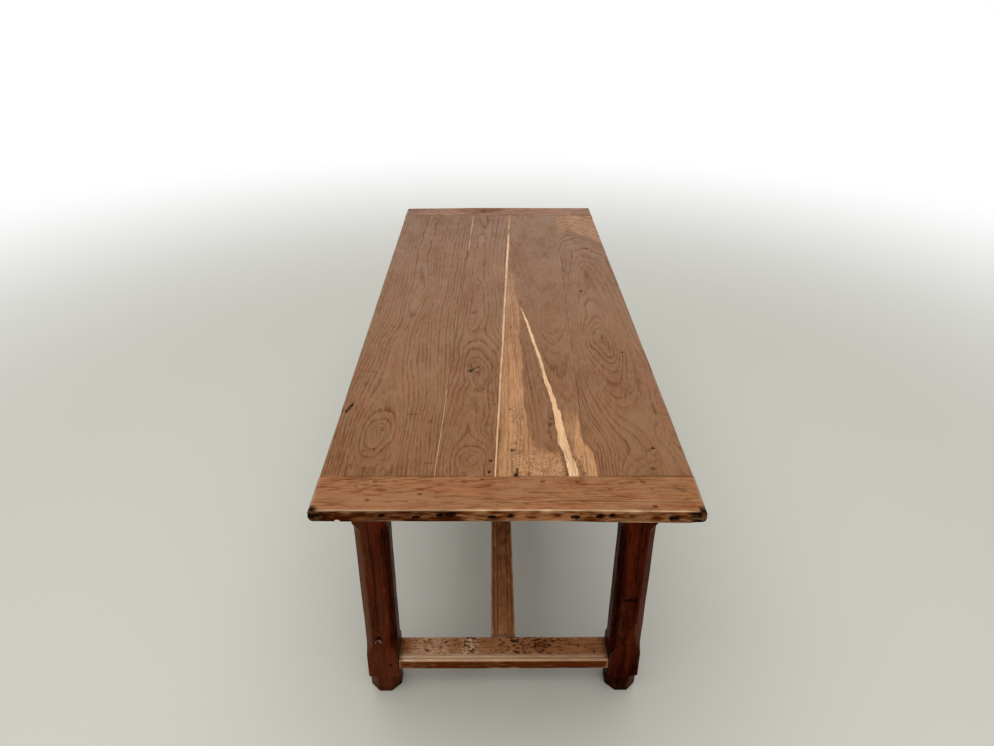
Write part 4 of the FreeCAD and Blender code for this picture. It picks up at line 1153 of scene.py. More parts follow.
    def clean_seam(self, seam: str, skin: Skin, amount: np.ndarray) -> None:
        """Takes off the dirt beside a seam.

        Args:
            seam: the seam.
            skin: the skin of a board beside it.
            amount: how much of the dirt goes at each point.
        """
        x, y = skin.points[..., 0], skin.points[..., 1]
        off = (x - self.seams[seam].middle(y, self.shoulder)) / self.seam_clean
        skin.marks[Mark.GRIME] *= 1 - amount * np.exp(-off ** 2)

    def patch(self, skin: Skin, stray: np.ndarray, upper: np.ndarray) -> None:
        """Paints the pale patch across the third seam, which is a hairline there and clean all along.

        Args:
            skin: the skin of a board beside the seam.
            stray: how far the patch's edges stray at each point.
            upper: 1 on the upper face.
        """
        x, y = skin.points[..., 0], skin.points[..., 1]
        left, right = (np.interp(y, *zip(*edge)) for edge in (PATCH_LEFT, PATCH_RIGHT))
        inside = ease(-2.5, 2.5, x - left + stray) * ease(2.5, -2.5, x - right + stray) * ease(-600, -680, y)
        skin.paint(Mark.PALE, 0.8 * inside * upper)
        skin.paint(Mark.FADE, 0.6 * inside)
        self.clean_seam("right", skin, 0.85 * upper)

    def sapwood(self, skin: Skin, ragged: np.ndarray, upper: np.ndarray) -> None:
        """Paints the pale, worm-eaten sapwood beside the middle seam, and the stains round it.

        Args:
            skin: the third board's skin.
            ragged: a steady unevenness for each point.
            upper: 1 on the upper face.
        """
        x, y = skin.points[..., 0], skin.points[..., 1]
        seam = self.edge("middle", -1, y)

        # A pale wedge along the seam, and a near end and two strips that worms have eaten
        edge = np.interp(y, *zip(*SAPWOOD_EDGE))
        wedge = ease(4, -4, x - edge + 5 * ragged) * ease(300, 240, y)
        strong = np.interp(y, (-892, -350, -150, 285), (0.62, 0.6, 0.45, 0.32))
        eaten = ease(-780, -830, y + 30 * ragged) * ease(26, 36, x - seam)
        skin.paint(Mark.PALE, strong * wedge * (1 - 0.5 * eaten) * upper)
        skin.paint(Mark.PALE, 0.6 * eaten * ease(124, 112, x) * upper)
        tongue = np.exp(-((x - 74) / 9) ** 2 - ((y + 812) / 32) ** 2)
        column = ease(18, 8, np.abs(x - 27) + 8 * ragged) * ease(-600, -690, y + 30 * ragged)
        beside = ease(16, 8, np.abs(x - 150) + 8 * ragged) * ease(-610, -690, y + 30 * ragged)
        beside = beside * ease(167, 160, x)
        skin.paint(Mark.PALE, 0.35 * beside * upper)
        bored = np.maximum(np.maximum(eaten * (1 - tongue), column), 0.4 * beside)
        skin.paint(Mark.WORM, bored * (1 - 0.4 * skin.marks[Mark.PALE]) * upper)
        skin.marks[Mark.TONE] += 0.55 * noise(skin.points, (7, 10, 7), 99, 2) * bored * upper
        skin.marks[Mark.TONE] += 0.35 * noise(skin.points, (6, 110, 6), 103, 2) * wedge * upper

        # A brown edge along the seam, and a dark line past the wedge
        brown = ease(0, 3, x - seam) * ease(13, 9, x - seam) * ease(-420, -640, y)
        skin.marks[Mark.TONE] -= 0.2 * brown * upper
        skin.paint(Mark.FADE, 0.8 * np.maximum(eaten, beside))
        line = np.interp(y, *zip(*SAPWOOD_LINE))
        there = ease(-640, -560, y) * ease(-180, -300, y)
        past = x - line + 3 * ragged
        skin.paint(Mark.GRIME, 0.4 * np.exp(-(past / 1.8) ** 2) * there * upper)
        skin.marks[Mark.TONE] -= 0.04 * ease(-1, 2, past) * ease(24, 14, past) * there * upper

        # A lighter zone beside the inlay, with a speckled stain in it
        zone = np.exp(-((x - 88) / 20) ** 4 - ((y + 702) / 64) ** 4)
        skin.marks[Mark.TONE] += 0.16 * zone * upper
        skin.paint(Mark.FADE, 0.5 * zone)
        streaks = ease(-0.35, 0.3, noise(skin.points, (4.5, 34, 4.5), 95, 2))
        stain = np.exp(-((x - 102.5 - 0.068 * (y + 705)) / 6) ** 2 - ((y + 705) / 62) ** 4)
        specks = ease(-0.35, 0.35, noise(skin.points, (6, 9, 6), 105, 2))
        skin.paint(Mark.GRIME, 0.85 * stain * streaks * specks * upper)

    def build(self) -> None:
        """Makes every piece of the top."""
        seams = ((None, "left"), ("left", "middle"), ("middle", "right"), ("right", None))
        for seed, (name, beside) in enumerate(zip(BOARD_LOGS, seams), start=100):
            self.board(name, beside, seed)
        self.fillets()
        for end, word in ((-1, "near"), (1, "far")):
            self.breadboard(end, word)

    def fillets(self) -> None:
        """Makes the pale slips in the seams and the inlay in the split."""
        reach = self.shoulder - self.slip_end_gap
        along = stations(-reach, reach, self.station_step, self.sharp_end)
        play = self.slip_side_gap
        for word in ("left", "middle"):
            seam = self.seams[word]
            edges = [seam.edge(along, self.shoulder, side) - play * side for side in (-1, 1)]
            skin = self.filler(f"seam_slip_{word}", along, edges, self.slip_column)
            x, y = skin.points[..., 0], skin.points[..., 1]
            if word == "left":
                skin.paint(Mark.GRIME, 0.82 * ease(-560, -530, y) * ease(520, 440, y))
                skin.paint(Mark.GRIME, 0.42 * ease(-500, -560, y))
            else:
                core = np.abs(x - seam.middle(y, self.shoulder))
                skin.paint(Mark.GRIME, ease(735, 765, y) * (0.35 + 0.35 * ease(2.6, 1.2, core)))
                skin.paint(Mark.GRIME, 0.6 * ease(620, 660, y) * ease(745, 715, y))
            grown = Log((30, -80), (9, 14), ring=3.2, wander=6, seed=71)
            make_piece(f"seam_slip_{word}_strip", f"seam_slip_{word}", [skin], grown, SLIP_OAK)
        low, high = node_box("split_inlay")
        along = stations(low[1] + self.slip_end_gap, high[1], self.inlay_step, self.sharp_end)
        begin, end, _ = self.inlay_edges(along)
        skin = self.filler("split_inlay", along, [begin + play, end - play], self.inlay_column)
        y = skin.points[..., 1]
        off = skin.points[..., 0] - np.interp(y, along, (begin + end) / 2)
        spots = np.stack([0 * y, y, 0 * y], -1)
        for at, until, seed in ((-2.0, -770, 43), (4.5, -800, 59)):
            split = np.abs(off - at - 1.6 * noise(spots, (1, 30, 1), seed, 2))
            skin.paint(Mark.GRIME, 0.6 * ease(1.5, 0.5, split) * ease(until, until - 40, y))
        grown = Log((60, -70), (30, 12), ring=3.0, wander=8, seed=83)
        make_piece("split_inlay_strip", "split_inlay", [skin], grown, INLAY_OAK)

    def filler(self, node: str, along: np.ndarray, edges: Sequence[np.ndarray], step: float) -> Skin:
        """Makes a strip between two edges, as deep as its node and level with the top.

        Args:
            node: the node that it stands for.
            along: its stations.
            edges: X of its left and right edges at each station.
            step: spacing of its points, if it were as wide as slip_width.

        Returns:
            The strip's skin.
        """
        low, high = node_box(node)
        depth = high[2] - low[2]
        half = self.slip_width / 2
        steps = (step, self.slip_side_step, self.slip_side_step)
        loop = box_loop(self.slip_width, depth, self.sharp_end, steps)
        across = np.stack([np.interp(loop.across, (-half, half), pair) for pair in zip(*edges)])
        middle = (0.0, 0.0, high[2] - depth / 2)
        skin = Skin.loft(Way.LENGTHWISE, along, across, loop.up, loop.normal, loop.arris, middle,
                         self.sharp_end)
        skin.weather(17, planing=0.12, wear=0.2, grime=0.5)
        return skin

    def breadboard(self, end: int, word: str) -> None:
        """Makes the board across one end of the top.

        Args:
            end: -1 near, 1 far.
            word: the end's word in the names of pieces.
        """
        width = self.half_length - self.shoulder
        half = self.breadboard_half
        loop = box_loop(width, self.thick, self.breadboard_arris, self.breadboard_columns)
        along = stations(-half, half, self.breadboard_step, self.breadboard_end)
        middle = (0.0, end * (self.shoulder + width / 2), (self.top + self.bottom) / 2)
        skin = Skin.loft(Way.CROSSWISE, along, loop.across, loop.up, loop.normal, loop.arris, middle,
                         self.breadboard_end)
        skin.weather(200 + end, planing=0.3, wear=0.6, grime=0.3)
        x, y, z = np.moveaxis(skin.points, -1, 0)
        side = x * -end
        front = self.half_length - np.abs(y)
        inner = np.abs(y) - self.shoulder
        ends = half - np.abs(x)

        # A notch in the lower edge, and a sharp arris along the boards
        notch = ease(*self.notch_half, np.abs(side - self.notch_at)) * ease(*self.notch_deep, front)
        floor = self.bottom + self.notch_height * notch
        skin.points[..., 2] = np.where(z < self.top - 8, np.maximum(z, floor), z)
        sharp = (inner < 2.5) & (z > self.top - 2.5)
        skin.points[..., 2] = np.where(sharp, self.top - 0.12 * (self.top - z), skin.points[..., 2])

        # The outer edge is darker, partly its own colour and partly painted shade, darker still towards its
        # lower arris as painted shade, and lighter in its middle than at its ends
        face = ease(4.0, 1.2, front)
        light = np.interp(side, *zip(*BREADBOARD_LIGHT))
        mottled = 0.85 * noise(skin.points, (24, 24, 7), 213 + end, 3)
        # Painted shade: darker still towards the lower arris
        under = 0.3 * ease(self.bottom + 7, self.bottom + 1, z)
        skin.marks[Mark.TONE] -= (0.64 - light + mottled + under) * face
        skin.paint(Mark.GRIME, 0.34 * ease(-55, -120, side) * face)
        mottle = 0.22 if end < 0 else 0.08
        skin.marks[Mark.TONE] += mottle * noise(skin.points, (34, 11, 34), 219 + end, 2) * (1 - face)
        if end > 0:
            skin.marks[Mark.TONE] -= 0.1

        # Dirt in the joint, worn arrises, a painted highlight along the outer arris, a painted sheen on the
        # rounded ends, and a long crack
        upper = ease(self.top - 6, self.top - 2, z)
        skin.marks[Mark.WEAR] *= ease(2.0, 8.0, inner)
        skin.paint(Mark.GRIME, self.joint_dirt(skin, 0.35) * ease(1.6, 0.4, inner) * upper)
        ridge = np.exp(-((front - 1.5) / 1.1) ** 2) * ease(self.top - 3.0, self.top - 1.4, z)
        # Painted sheen on the rounded ends, in the worn colour
        skin.paint(Mark.WEAR, 0.16 * ease(11, 5, ends) * upper)
        # The worn outer arris, lightened further as a painted highlight
        skin.paint(Mark.WEAR, ridge * ease(0, 45, ends))
        crack = np.abs(inner - np.interp(side, *zip(*BREADBOARD_CRACK)))
        long = ease(-70, -30, side) * upper
        skin.paint(Mark.GRIME, 0.5 * ease(2.2, 0.6, crack) * long)
        skin.paint(Mark.WEAR, 0.18 * ease(5.0, 2.6, crack) * ease(1.6, 2.6, crack) * long)
        self.char(skin, end)
        skin.dig(self.nail_holes(end))
        for way in (1, -1):
            self.round_off(skin, ends, self.end_rounding, way)
        self.sag(skin, end)
        knots = (Knot(-10, 120, radius=14, bulge=5), Knot(15, -260, radius=12, bulge=4))
        grown = Log((22, -46), (70, 24), ring=4.4, wander=9, seed=61 + end, knots=knots)
        make_piece(f"breadboard_{word}_plank", f"breadboard_{word}", [skin], grown, BREADBOARD_OAK)

    def sag(self, skin: Skin, end: int) -> None:
        """Lets the outer edge of a breadboard hang towards one end, where it is a little thicker.

        Args:
            skin: the breadboard's skin.
            end: -1 near, 1 far.
        """
        x, y, z = np.moveaxis(skin.points, -1, 0)
        outer = ease(0, 1, (np.abs(y) - self.shoulder) / (self.half_length - self.shoulder))
        drop = np.interp(z, (self.bottom, self.top), self.hang)
        skin.points[..., 2] -= drop * outer * ease(self.hang_from, self.breadboard_half, x * -end)

    def char(self, skin: Skin, end: int) -> None:
        """Blackens and splits a breadboard's two outer corners, with pale slivers in them as painted
        highlights.

        Args:
            skin: the breadboard's skin.
            end: -1 near, 1 far.
        """
        x, y, z = np.moveaxis(skin.points, -1, 0)
        front = self.half_length - np.abs(y)
        corner = self.breadboard_half - np.abs(x)
        splits = noise(skin.points, (16, 9, 6), 230 + end, 2)
        reach = np.where(z > self.top - 3, *self.char_reach)
        near = ease(1.0, 0.6, corner / reach + 0.3 * splits) * ease(26, 12, front + 0.35 * corner)
        skin.paint(Mark.GRIME, near * (0.72 + 0.28 * ease(-0.3, -0.05, splits)))
        # Painted highlights: pale slivers in the blackened corners
        skin.paint(Mark.PALE, 0.5 * near * ease(-0.4, -0.6, splits))
        skin.push(-1.6 * near * ease(0.05, 0.35, splits) - 0.9 * near * np.exp(-skin.arris / 3))

    def nail_holes(self, end: int) -> list[Pit]:
        """Lists the holes, knots and dark spots of a breadboard.

        Args:
            end: -1 near, 1 far.

        Returns:
            The pits.
        """
        pits = []
        for x, long, high, share in EDGE_HOLES:
            middle = (-end * x, end * self.half_length, self.top - share * self.thick)
            pits.append(Pit(middle, (long, self.hole_reach, high), self.hole_depth))
        for x, inset, size, dark in FACE_SPOTS:
            middle = (-end * x, end * (self.shoulder + inset), self.top)
            reach = (self.spot_stretch * size, size, self.spot_reach)
            pits.append(Pit(middle, reach, self.spot_depth * dark, dark))
        return pits


# Holes and knots in the fronts of the legs: place across from the middle, height, reach, depth and darkness
LEG_PITS = {
    "near_left": ((-5, 192, (9, 4, 13), 1.6, 0.85),),
    "near_right": ((-3, 326, (19, 4, 5), 1.6, 0.85), (-16, 250, (4, 3, 8), 1.0, 0.5)),
}


@dataclass
class Legs:
    """The four legs: square at the joints, chamfered between them. Lengths are in mm."""

    shaft_chamfer: float = 19.0
    shaft_stop: float = 33.0
    foot_chamfer: float = 24.0
    foot_stop: float = 12.0
    arris: float = 1.4
    square_above: float = 24.0
    square_below: float = 26.0
    square_below_apron: float = 25.0
    step: float = 3.0
    end_arris: float = 2.0
    face_points: int = 13
    face_inset: float = 1.3

    def __post_init__(self) -> None:
        """Takes the heights of the chamfers from the rails beside them."""
        low, high = node_box("cross_stretcher_near")
        self.shaft_low = high[2] + self.square_above
        self.foot_top = low[2] - self.square_below
        self.shaft_high = node_box("end_apron_near")[0][2] - self.square_below_apron

    def stop(self, chamfer: float, length: float, past: np.ndarray) -> np.ndarray:
        """Finds a chamfer's width as it runs out in a curved stop.

        Args:
            chamfer: its full width.
            length: length of the stop.
            past: how far past the stop's start each place lies.

        Returns:
            The width at each place.
        """
        depth = chamfer / math.sqrt(2)
        radius = (length ** 2 + depth ** 2) / (2 * depth)
        rise = radius - np.sqrt(np.maximum(radius ** 2 - np.clip(past, 0, length) ** 2, 0))
        return np.where(past < length, np.maximum((depth - rise) * math.sqrt(2), self.arris), self.arris)

    def chamfer(self, height: np.ndarray) -> np.ndarray:
        """Finds the chamfer's width on the shaft, the foot and the square joints.

        Args:
            height: heights above the floor.

        Returns:
            The width at each height.
        """
        high = self.stop(self.shaft_chamfer, self.shaft_stop, height - (self.shaft_high - self.shaft_stop))
        low = self.stop(self.shaft_chamfer, self.shaft_stop, self.shaft_low + self.shaft_stop - height)
        foot = self.stop(self.foot_chamfer, self.foot_stop, height - (self.foot_top - self.foot_stop))
        shaft = np.minimum(high, low)
        return np.where(height < (self.foot_top + self.shaft_low) / 2, foot, shaft)

    def sections(self, chamfer: np.ndarray, half: float) -> tuple[np.ndarray, ...]:
        """Section points of a leg at each station, from the chamfer's width there.

        Args:
            chamfer: width of the chamfer at each station.
            half: half of the leg's side.

        Returns:
            The points across and up, their outward directions and their distance from an arris.
        """
        flat = half - chamfer[:, None]
        inset = self.face_inset
        support = np.minimum(inset, 0.3 * chamfer)[:, None]
        shares = np.linspace(-1, 1, self.face_points + 2)[1:-1]
        side_at = np.concatenate([-(flat - inset), shares * (flat - inset * 2), flat - inset], 1)
        width = chamfer[:, None]
        between = width * np.array([[0.25, 0.5, 0.75]])
        slant = np.sort(np.concatenate([0 * width, support, between, width - support, width], 1), 1)
        side = np.stack([side_at, np.full_like(side_at, half)], -1)
        corner = np.stack([flat + slant, half - slant], -1)
        points = np.concatenate([side, corner], 1)
        straight = np.broadcast_to([0.0, 1.0], side.shape)
        angle = np.radians(90 - 90 * ease(0, 1, slant / width) * 0.5 - 22.5)
        turned = np.stack([np.cos(angle), np.sin(angle)], -1)
        normal = np.concatenate([straight, turned], 1)
        arris = np.concatenate([flat - np.abs(side_at), np.minimum(slant, width - slant)], 1)
        turns = [np.eye(2)]
        for _ in range(3):
            turns.append(np.array([[0, -1], [1, 0]]) @ turns[-1])
        points = np.concatenate([points @ turn for turn in turns], 1)
        normal = np.concatenate([normal @ turn for turn in turns], 1)
        return points[..., 0], points[..., 1], normal, np.tile(arris, (1, 4))

    def build(self) -> None:
        """Makes the four legs."""
        for seed, word in enumerate(("near_left", "near_right", "far_left", "far_right")):
            node = f"leg_{word}"
            low, high = node_box(node)
            half = (high[0] - low[0]) / 2
            middle = ((low[0] + high[0]) / 2, (low[1] + high[1]) / 2, 0.0)
            along = stations(0.0, high[2], self.step, self.end_arris)
            across, up, normal, arris = self.sections(self.chamfer(along), half)
            skin = Skin.loft(Way.UPRIGHT, along, across, up, normal, arris, middle, self.end_arris)
            skin.weather(300 + seed, planing=0.3, wear=0.8, grime=0.35)
            face = middle[1] - half
            pits = LEG_PITS.get(word, ())
            skin.dig([Pit((middle[0] + off, face, height), *rest) for off, height, *rest in pits])
            x, z = skin.points[..., 0], skin.points[..., 2]

            # Inner faces are painted darker and less worn, as painted shade; outer chamfers are lightened in
            # the worn colour as a painted reflection; feet are dirty
            inner = -math.copysign(1, middle[0]) * skin.normals[..., 0]
            skin.marks[Mark.TONE] -= 0.4 * ease(0.25, 0.6, inner)
            skin.marks[Mark.WEAR] *= 1 - 0.75 * ease(0.1, 0.5, inner)
            # Painted reflection: the outer chamfers are lightened in the worn colour, less on the near right
            # leg
            rubbed, left_over = (0.15, 0.5) if word == "near_right" else (0.6, 1.0)
            skin.marks[Mark.WEAR] *= left_over
            skin.paint(Mark.WEAR, rubbed * ease(0.25, 0.6, -inner) * ease(1.0, 0.95, -inner))
            skin.paint(Mark.GRIME, 0.45 * ease(26, 0, z))
            skin.marks[Mark.TONE] += 0.3 * noise(skin.points, (9, 9, 150), 350 + seed, 2)
            if word == "near_left":
                # Thin wax low down and on the left of the front, a dark streak, and a knot with a pale middle
                lower = ease(190, 120, z)
                front = ease(-0.8, -0.95, skin.normals[..., 1])
                skin.marks[Mark.TONE] += 0.12 * lower
                thin = 0.5 + 0.5 * noise(skin.points, (12, 12, 120), 361, 2)
                left = front * ease(middle[0] + 22, middle[0] + 6, x)
                skin.paint(Mark.WEAR, np.maximum(0.22 * lower, 0.3 * left * thin))
                line = middle[0] + np.interp(z, (190, 300, 420, 640), (-5, -4, -1, -9))
                streak = np.exp(-((x - line) / 2.8) ** 2) * ease(190, 240, z) * ease(670, 540, z)
                skin.paint(Mark.GRIME, 0.6 * streak * front)
                star = np.linalg.norm((skin.points - (middle[0] - 5, face, 185)) / (5, 6, 6), axis=-1)
                star = ease(1.1, 0.5, star + 0.9 * noise(skin.points, 3.5, 77, 2))
                skin.paint(Mark.PALE, 0.8 * star)
                skin.marks[Mark.GRIME] *= 1 - 0.8 * star
            if word == "near_right":
                skin.marks[Mark.TONE] -= 0.13 + 0.16 * ease(420, 330, z)
            knots = (Knot(-5, 186, radius=11, bulge=6), Knot(-12, 420, radius=12, bulge=4))
            pith = (-30 + 19 * seed, -36 - 9 * seed)
            grown = Log(pith, (12, 9), ring=4.0, wander=8, seed=90 + 7 * seed, knots=knots)
            make_piece(f"{node}_post", node, [skin], grown, WAXED_LEG)


# Seeds of the stretchers that have marks of their own
NEAR_SEED = 420
LONG_SEED = 430


@dataclass
class Rails:
    """The aprons under the top and the stretchers near the floor. Lengths are in mm."""

    bead: float = 7.0
    quirk: float = 2.6
    quirk_depth: float = 1.8
    quirk_flat: float = 0.3
    quirk_slope: float = 0.9
    bead_drop: float = 0.35
    bead_round: float = 2.4
    arris: float = 1.6
    moulded_step: float = 1.1
    plain_step: float = 3.0
    side_step: float = 3.0
    under_step: float = 5.0
    upper_slack: float = 0.4
    station_step: float = 3.6
    end_arris: float = 0.6

    def __post_init__(self) -> None:
        """Takes the shoulders' places from what each rail meets."""
        self.leg_inner = node_box("leg_far_right")[0]
        self.cross_inner = node_box("cross_stretcher_far")[0][1]

    def quirks(self, across: np.ndarray, edge: float, inward: int) -> np.ndarray:
        """Finds how far the scratched moulding along one edge lies below the upper face.

        Args:
            across: places across the rail.
            edge: where the edge is.
            inward: 1 or -1, from the edge into the rail.

        Returns:
            The drop at each place.
        """
        inside = (across - edge) * inward
        drop = np.zeros_like(across)
        for middle in (self.bead + self.quirk / 2, 2 * self.bead + 1.5 * self.quirk):
            off = np.abs(inside - middle)
            drop += self.quirk_depth * ease(self.quirk / 2 + self.quirk_slope, self.quirk_flat, off)
        edges = (self.bead, self.bead + self.quirk, 0.0)
        return drop + sum(self.bead_drop * ease(self.bead_round, 0, np.abs(inside - at)) for at in edges)

    def build(self) -> None:
        """Makes the aprons and the stretchers."""
        for seed, word in enumerate(("left", "right")):
            self.rail(f"side_apron_{word}", Way.LENGTHWISE, self.leg_inner[1], WAXED_APRON, 400 + seed)
        for seed, word in enumerate(("near", "far")):
            self.rail(f"end_apron_{word}", Way.CROSSWISE, self.leg_inner[0], WAXED_APRON, 410 + seed)
        for seed, (word, end) in enumerate((("near", -1), ("far", 1))):
            node = f"cross_stretcher_{word}"
            self.rail(node, Way.CROSSWISE, self.leg_inner[0], WORN_STRETCHER, NEAR_SEED + seed, [end])
        self.rail("long_stretcher", Way.LENGTHWISE, self.cross_inner, WORN_STRETCHER, LONG_SEED, [-1, 1])

    def rail(self, node: str, way: Way, reach: float, finish: Wood, seed: int,
             moulded: Sequence[int] = ()) -> None:
        """Makes one rail between its shoulders.

        Args:
            node: the node that it stands for.
            way: how it lies.
            reach: its shoulders' distance from its middle.
            finish: the finish of its surface.
            seed: picks its grain and wear.
            moulded: which of its edges, -1 or 1, are moulded along the top.
        """
        low, high = node_box(node)
        size = high - low
        width, height = size[way.value[0]], size[2]
        step = self.moulded_step if moulded else self.plain_step
        loop = box_loop(width, height, self.arris, (step, self.side_step, self.under_step))
        up = loop.up.copy()
        upper = loop.up > height / 2 - self.upper_slack
        for edge in moulded:
            up[upper] -= self.quirks(loop.across[upper], edge * width / 2, -edge)
        along = stations(-reach, reach, self.station_step, self.end_arris)
        middle = (low + high) / 2
        skin = Skin.loft(way, along, loop.across, up, loop.normal, loop.arris, middle, self.end_arris)
        skin.weather(seed, planing=0.3, wear=0.7 if moulded else 0.6, grime=0.3)
        z = skin.points[..., 2]
        if moulded:
            inside = np.min([width / 2 - edge * loop.across for edge in moulded], axis=0)
            moulding = 2 * (self.bead + self.quirk)
            self.scuff(skin, seed, high[2], ease(moulding - 2, moulding + 3, inside))
        else:
            # Painted shade: the aprons are darker towards their top edge, under the table top
            skin.marks[Mark.TONE] -= 0.2 * ease(high[2] - 10, high[2], z)
        knots = (Knot(4, 90, radius=10, bulge=4), Knot(-6, -180, radius=9, bulge=4))
        grown = Log((18 + seed % 7, -48), (30, 22), ring=3.8, wander=9, seed=seed, knots=knots)
        make_piece(f"{node}_rail", node, [skin], grown, finish)

    def scuff(self, skin: Skin, seed: int, top: float, plain: np.ndarray) -> None:
        """Wears the polish off a stretcher's upper face and leaves dark flaked stains on it.

        Args:
            skin: the stretcher's skin.
            seed: picks its stains.
            top: height of its upper face.
            plain: 1 on the plain part of its section, behind the moulding.
        """
        x, y, z = np.moveaxis(skin.points, -1, 0)
        upper = ease(top - 5, top - 2.5, z)
        skin.marks[Mark.TONE] += 0.18 * upper - 0.74 * (1 - upper)
        patches = noise(skin.points, (110, 110, 60), seed + 2, 2)
        heavy, rubbed, stained, sunk_dirt = 0.5 + 0.5 * patches, ease(0.1, -0.5, patches), 1.0, 0.85
        if seed == NEAR_SEED:
            # Feet have rubbed the left half, and the right half is stained. The moulding is painted pale,
            # partly worn bare and partly a painted highlight on its beads
            rubbed = 1.2 * np.exp(-((x + 88) / 24) ** 2) + 0.8 * ease(-125, -160, x) * ease(-250, -225, x)
            heavy = ease(-90, 70, x) * ease(190, 110, x) + 0.8 * np.exp(-((x + 88) / 22) ** 2)
            sunk_dirt = 0.5
            bare_and_highlight = np.interp(x, (-270, -60, 60, 270), (0.9, 0.75, 0.5, 0.45))
            # Pale moulding: bare wood and a painted highlight
            skin.paint(Mark.PALE, bare_and_highlight * (1 - plain) * upper)
        if seed == LONG_SEED:
            stained, sunk_dirt = 0.25, 0.45
            # Painted shade: the long stretcher's top is darker, and darker still from its near end to its
            # middle and beyond, under the table
            skin.marks[Mark.TONE] -= (0.15 + 0.4 * ease(-700, 0, y)) * upper

        # Flakes of old polish, rubbed patches, dirty ends and moulding, and worn arrises that are also a
        # painted highlight
        flakes = noise(skin.local, (4.0, 5.6, 4.0), seed + 4, 2)
        skin.paint(Mark.GRIME, stained * upper * plain * ease(0.2, 0.42, flakes - 0.4 * (1 - heavy)))
        skin.marks[Mark.TONE] -= 0.08 * heavy * upper
        skin.paint(Mark.PALE, 0.7 * upper * rubbed * ease(-0.4, 0.3, flakes[::-1]))
        ends = np.abs(skin.local[..., 1]).max() - np.abs(skin.local[..., 1])
        skin.paint(Mark.GRIME, 0.6 * upper * ease(14, 2, ends + 6 * flakes))
        # Worn top arrises, lightened also as a painted highlight
        skin.paint(Mark.WEAR, np.exp(-skin.arris / 1.6) * upper)
        sunk = ease(0.4, 1.2, top - z) * ease(3.2, 2.2, top - z) * ease(3.0, 4.5, skin.arris)
        skin.paint(Mark.GRIME, sunk_dirt * sunk)


@dataclass
class Pegs:
    """The wooden pegs that lock the joints, with whittled sides and eased ends. Lengths are in mm."""

    proud: float = 0.35
    sides: int = 20
    step: float = 6.0
    end_arris: float = 0.5
    fit: float = 0.965
    whittling: float = 0.03
    clear_of_arris: float = 5.0
    most_links: int = 64

    def build(self) -> None:
        """Makes each group of pegs."""
        groups = {
            "breadboard_pegs_near": PEG_OAK, "breadboard_pegs_far": PEG_OAK, "top_pegs": PEG_OAK,
            "side_apron_pegs": FRAME_PEG_OAK, "end_apron_pegs": FRAME_PEG_OAK,
            "cross_stretcher_pegs": FRAME_PEG_OAK, "long_stretcher_pegs": PEG_OAK,
        }
        for seed, (node, finish) in enumerate(groups.items(), start=500):
            skins = [self.peg(low, high, node, seed + k) for k, (low, high) in enumerate(self.islands(node))]
            grown = Log((2, 1), (0, 0), ring=1.6, wander=1, seed=seed)
            make_piece(f"{node}_set", node, skins, grown, finish)

    def islands(self, node: str) -> list[tuple[np.ndarray, np.ndarray]]:
        """Finds each separate peg in a node.

        Args:
            node: the node.

        Returns:
            The lowest and highest corner of each peg's box, in mm.
        """
        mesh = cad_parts[node].data
        places = np.array([vertex.co for vertex in mesh.vertices]) / MM
        edges = np.array([edge.vertices[:] for edge in mesh.edges])
        twins = np.unique(np.round(places, 2), axis=0, return_inverse=True)[1].ravel()
        names = twins.copy()
        for _ in range(self.most_links):
            low = np.minimum(names[edges[:, 0]], names[edges[:, 1]])
            best = np.full(names.max() + 1, names.max() + 1)
            np.minimum.at(best, names[edges[:, 0]], low)
            np.minimum.at(best, names[edges[:, 1]], low)
            best = np.minimum(best, np.arange(len(best)))
            changed = best[names]
            if np.array_equal(changed, names):
                break
            names = changed
        return [(places[names == k].min(0), places[names == k].max(0)) for k in np.unique(names)]

    def peg(self, low: np.ndarray, high: np.ndarray, node: str, seed: int) -> Skin:
        """Makes one peg in its box, a little proud of the wood where it is seen.

        Args:
            low: lowest corner of the box.
            high: highest corner of the box.
            node: the node that it belongs to.
            seed: picks its shape.

        Returns:
            The peg's skin.
        """
        size = high - low
        axis = int(np.argmax(size))
        way = {0: Way.CROSSWISE, 1: Way.LENGTHWISE, 2: Way.UPRIGHT}[axis]
        radius = float(np.min(size)) / 2
        half = size[axis] / 2
        angles = np.radians(-np.arange(self.sides) * 360 / self.sides)
        turned = np.stack([np.cos(angles), np.sin(angles)], -1)
        spots = np.concatenate([turned * 1.4, np.full((self.sides, 1), seed * 3.7)], -1)
        whittled = radius * (self.fit + self.whittling * noise(spots, 1, seed))
        ends = self.proud if "pegs_" in node or node == "top_pegs" else 0.0
        along = stations(-half, half + ends, self.step, self.end_arris)
        arris = np.full(self.sides, self.clear_of_arris)
        loop = turned * whittled[:, None]
        middle = (low + high) / 2
        skin = Skin.loft(way, along, loop[:, 0], loop[:, 1], turned, arris, middle, self.end_arris)
        rim = np.linalg.norm(skin.local[..., [0, 2]], axis=-1) / radius
        skin.paint(Mark.GRIME, 0.5 * ease(0.86, 0.97, rim))
        return skin


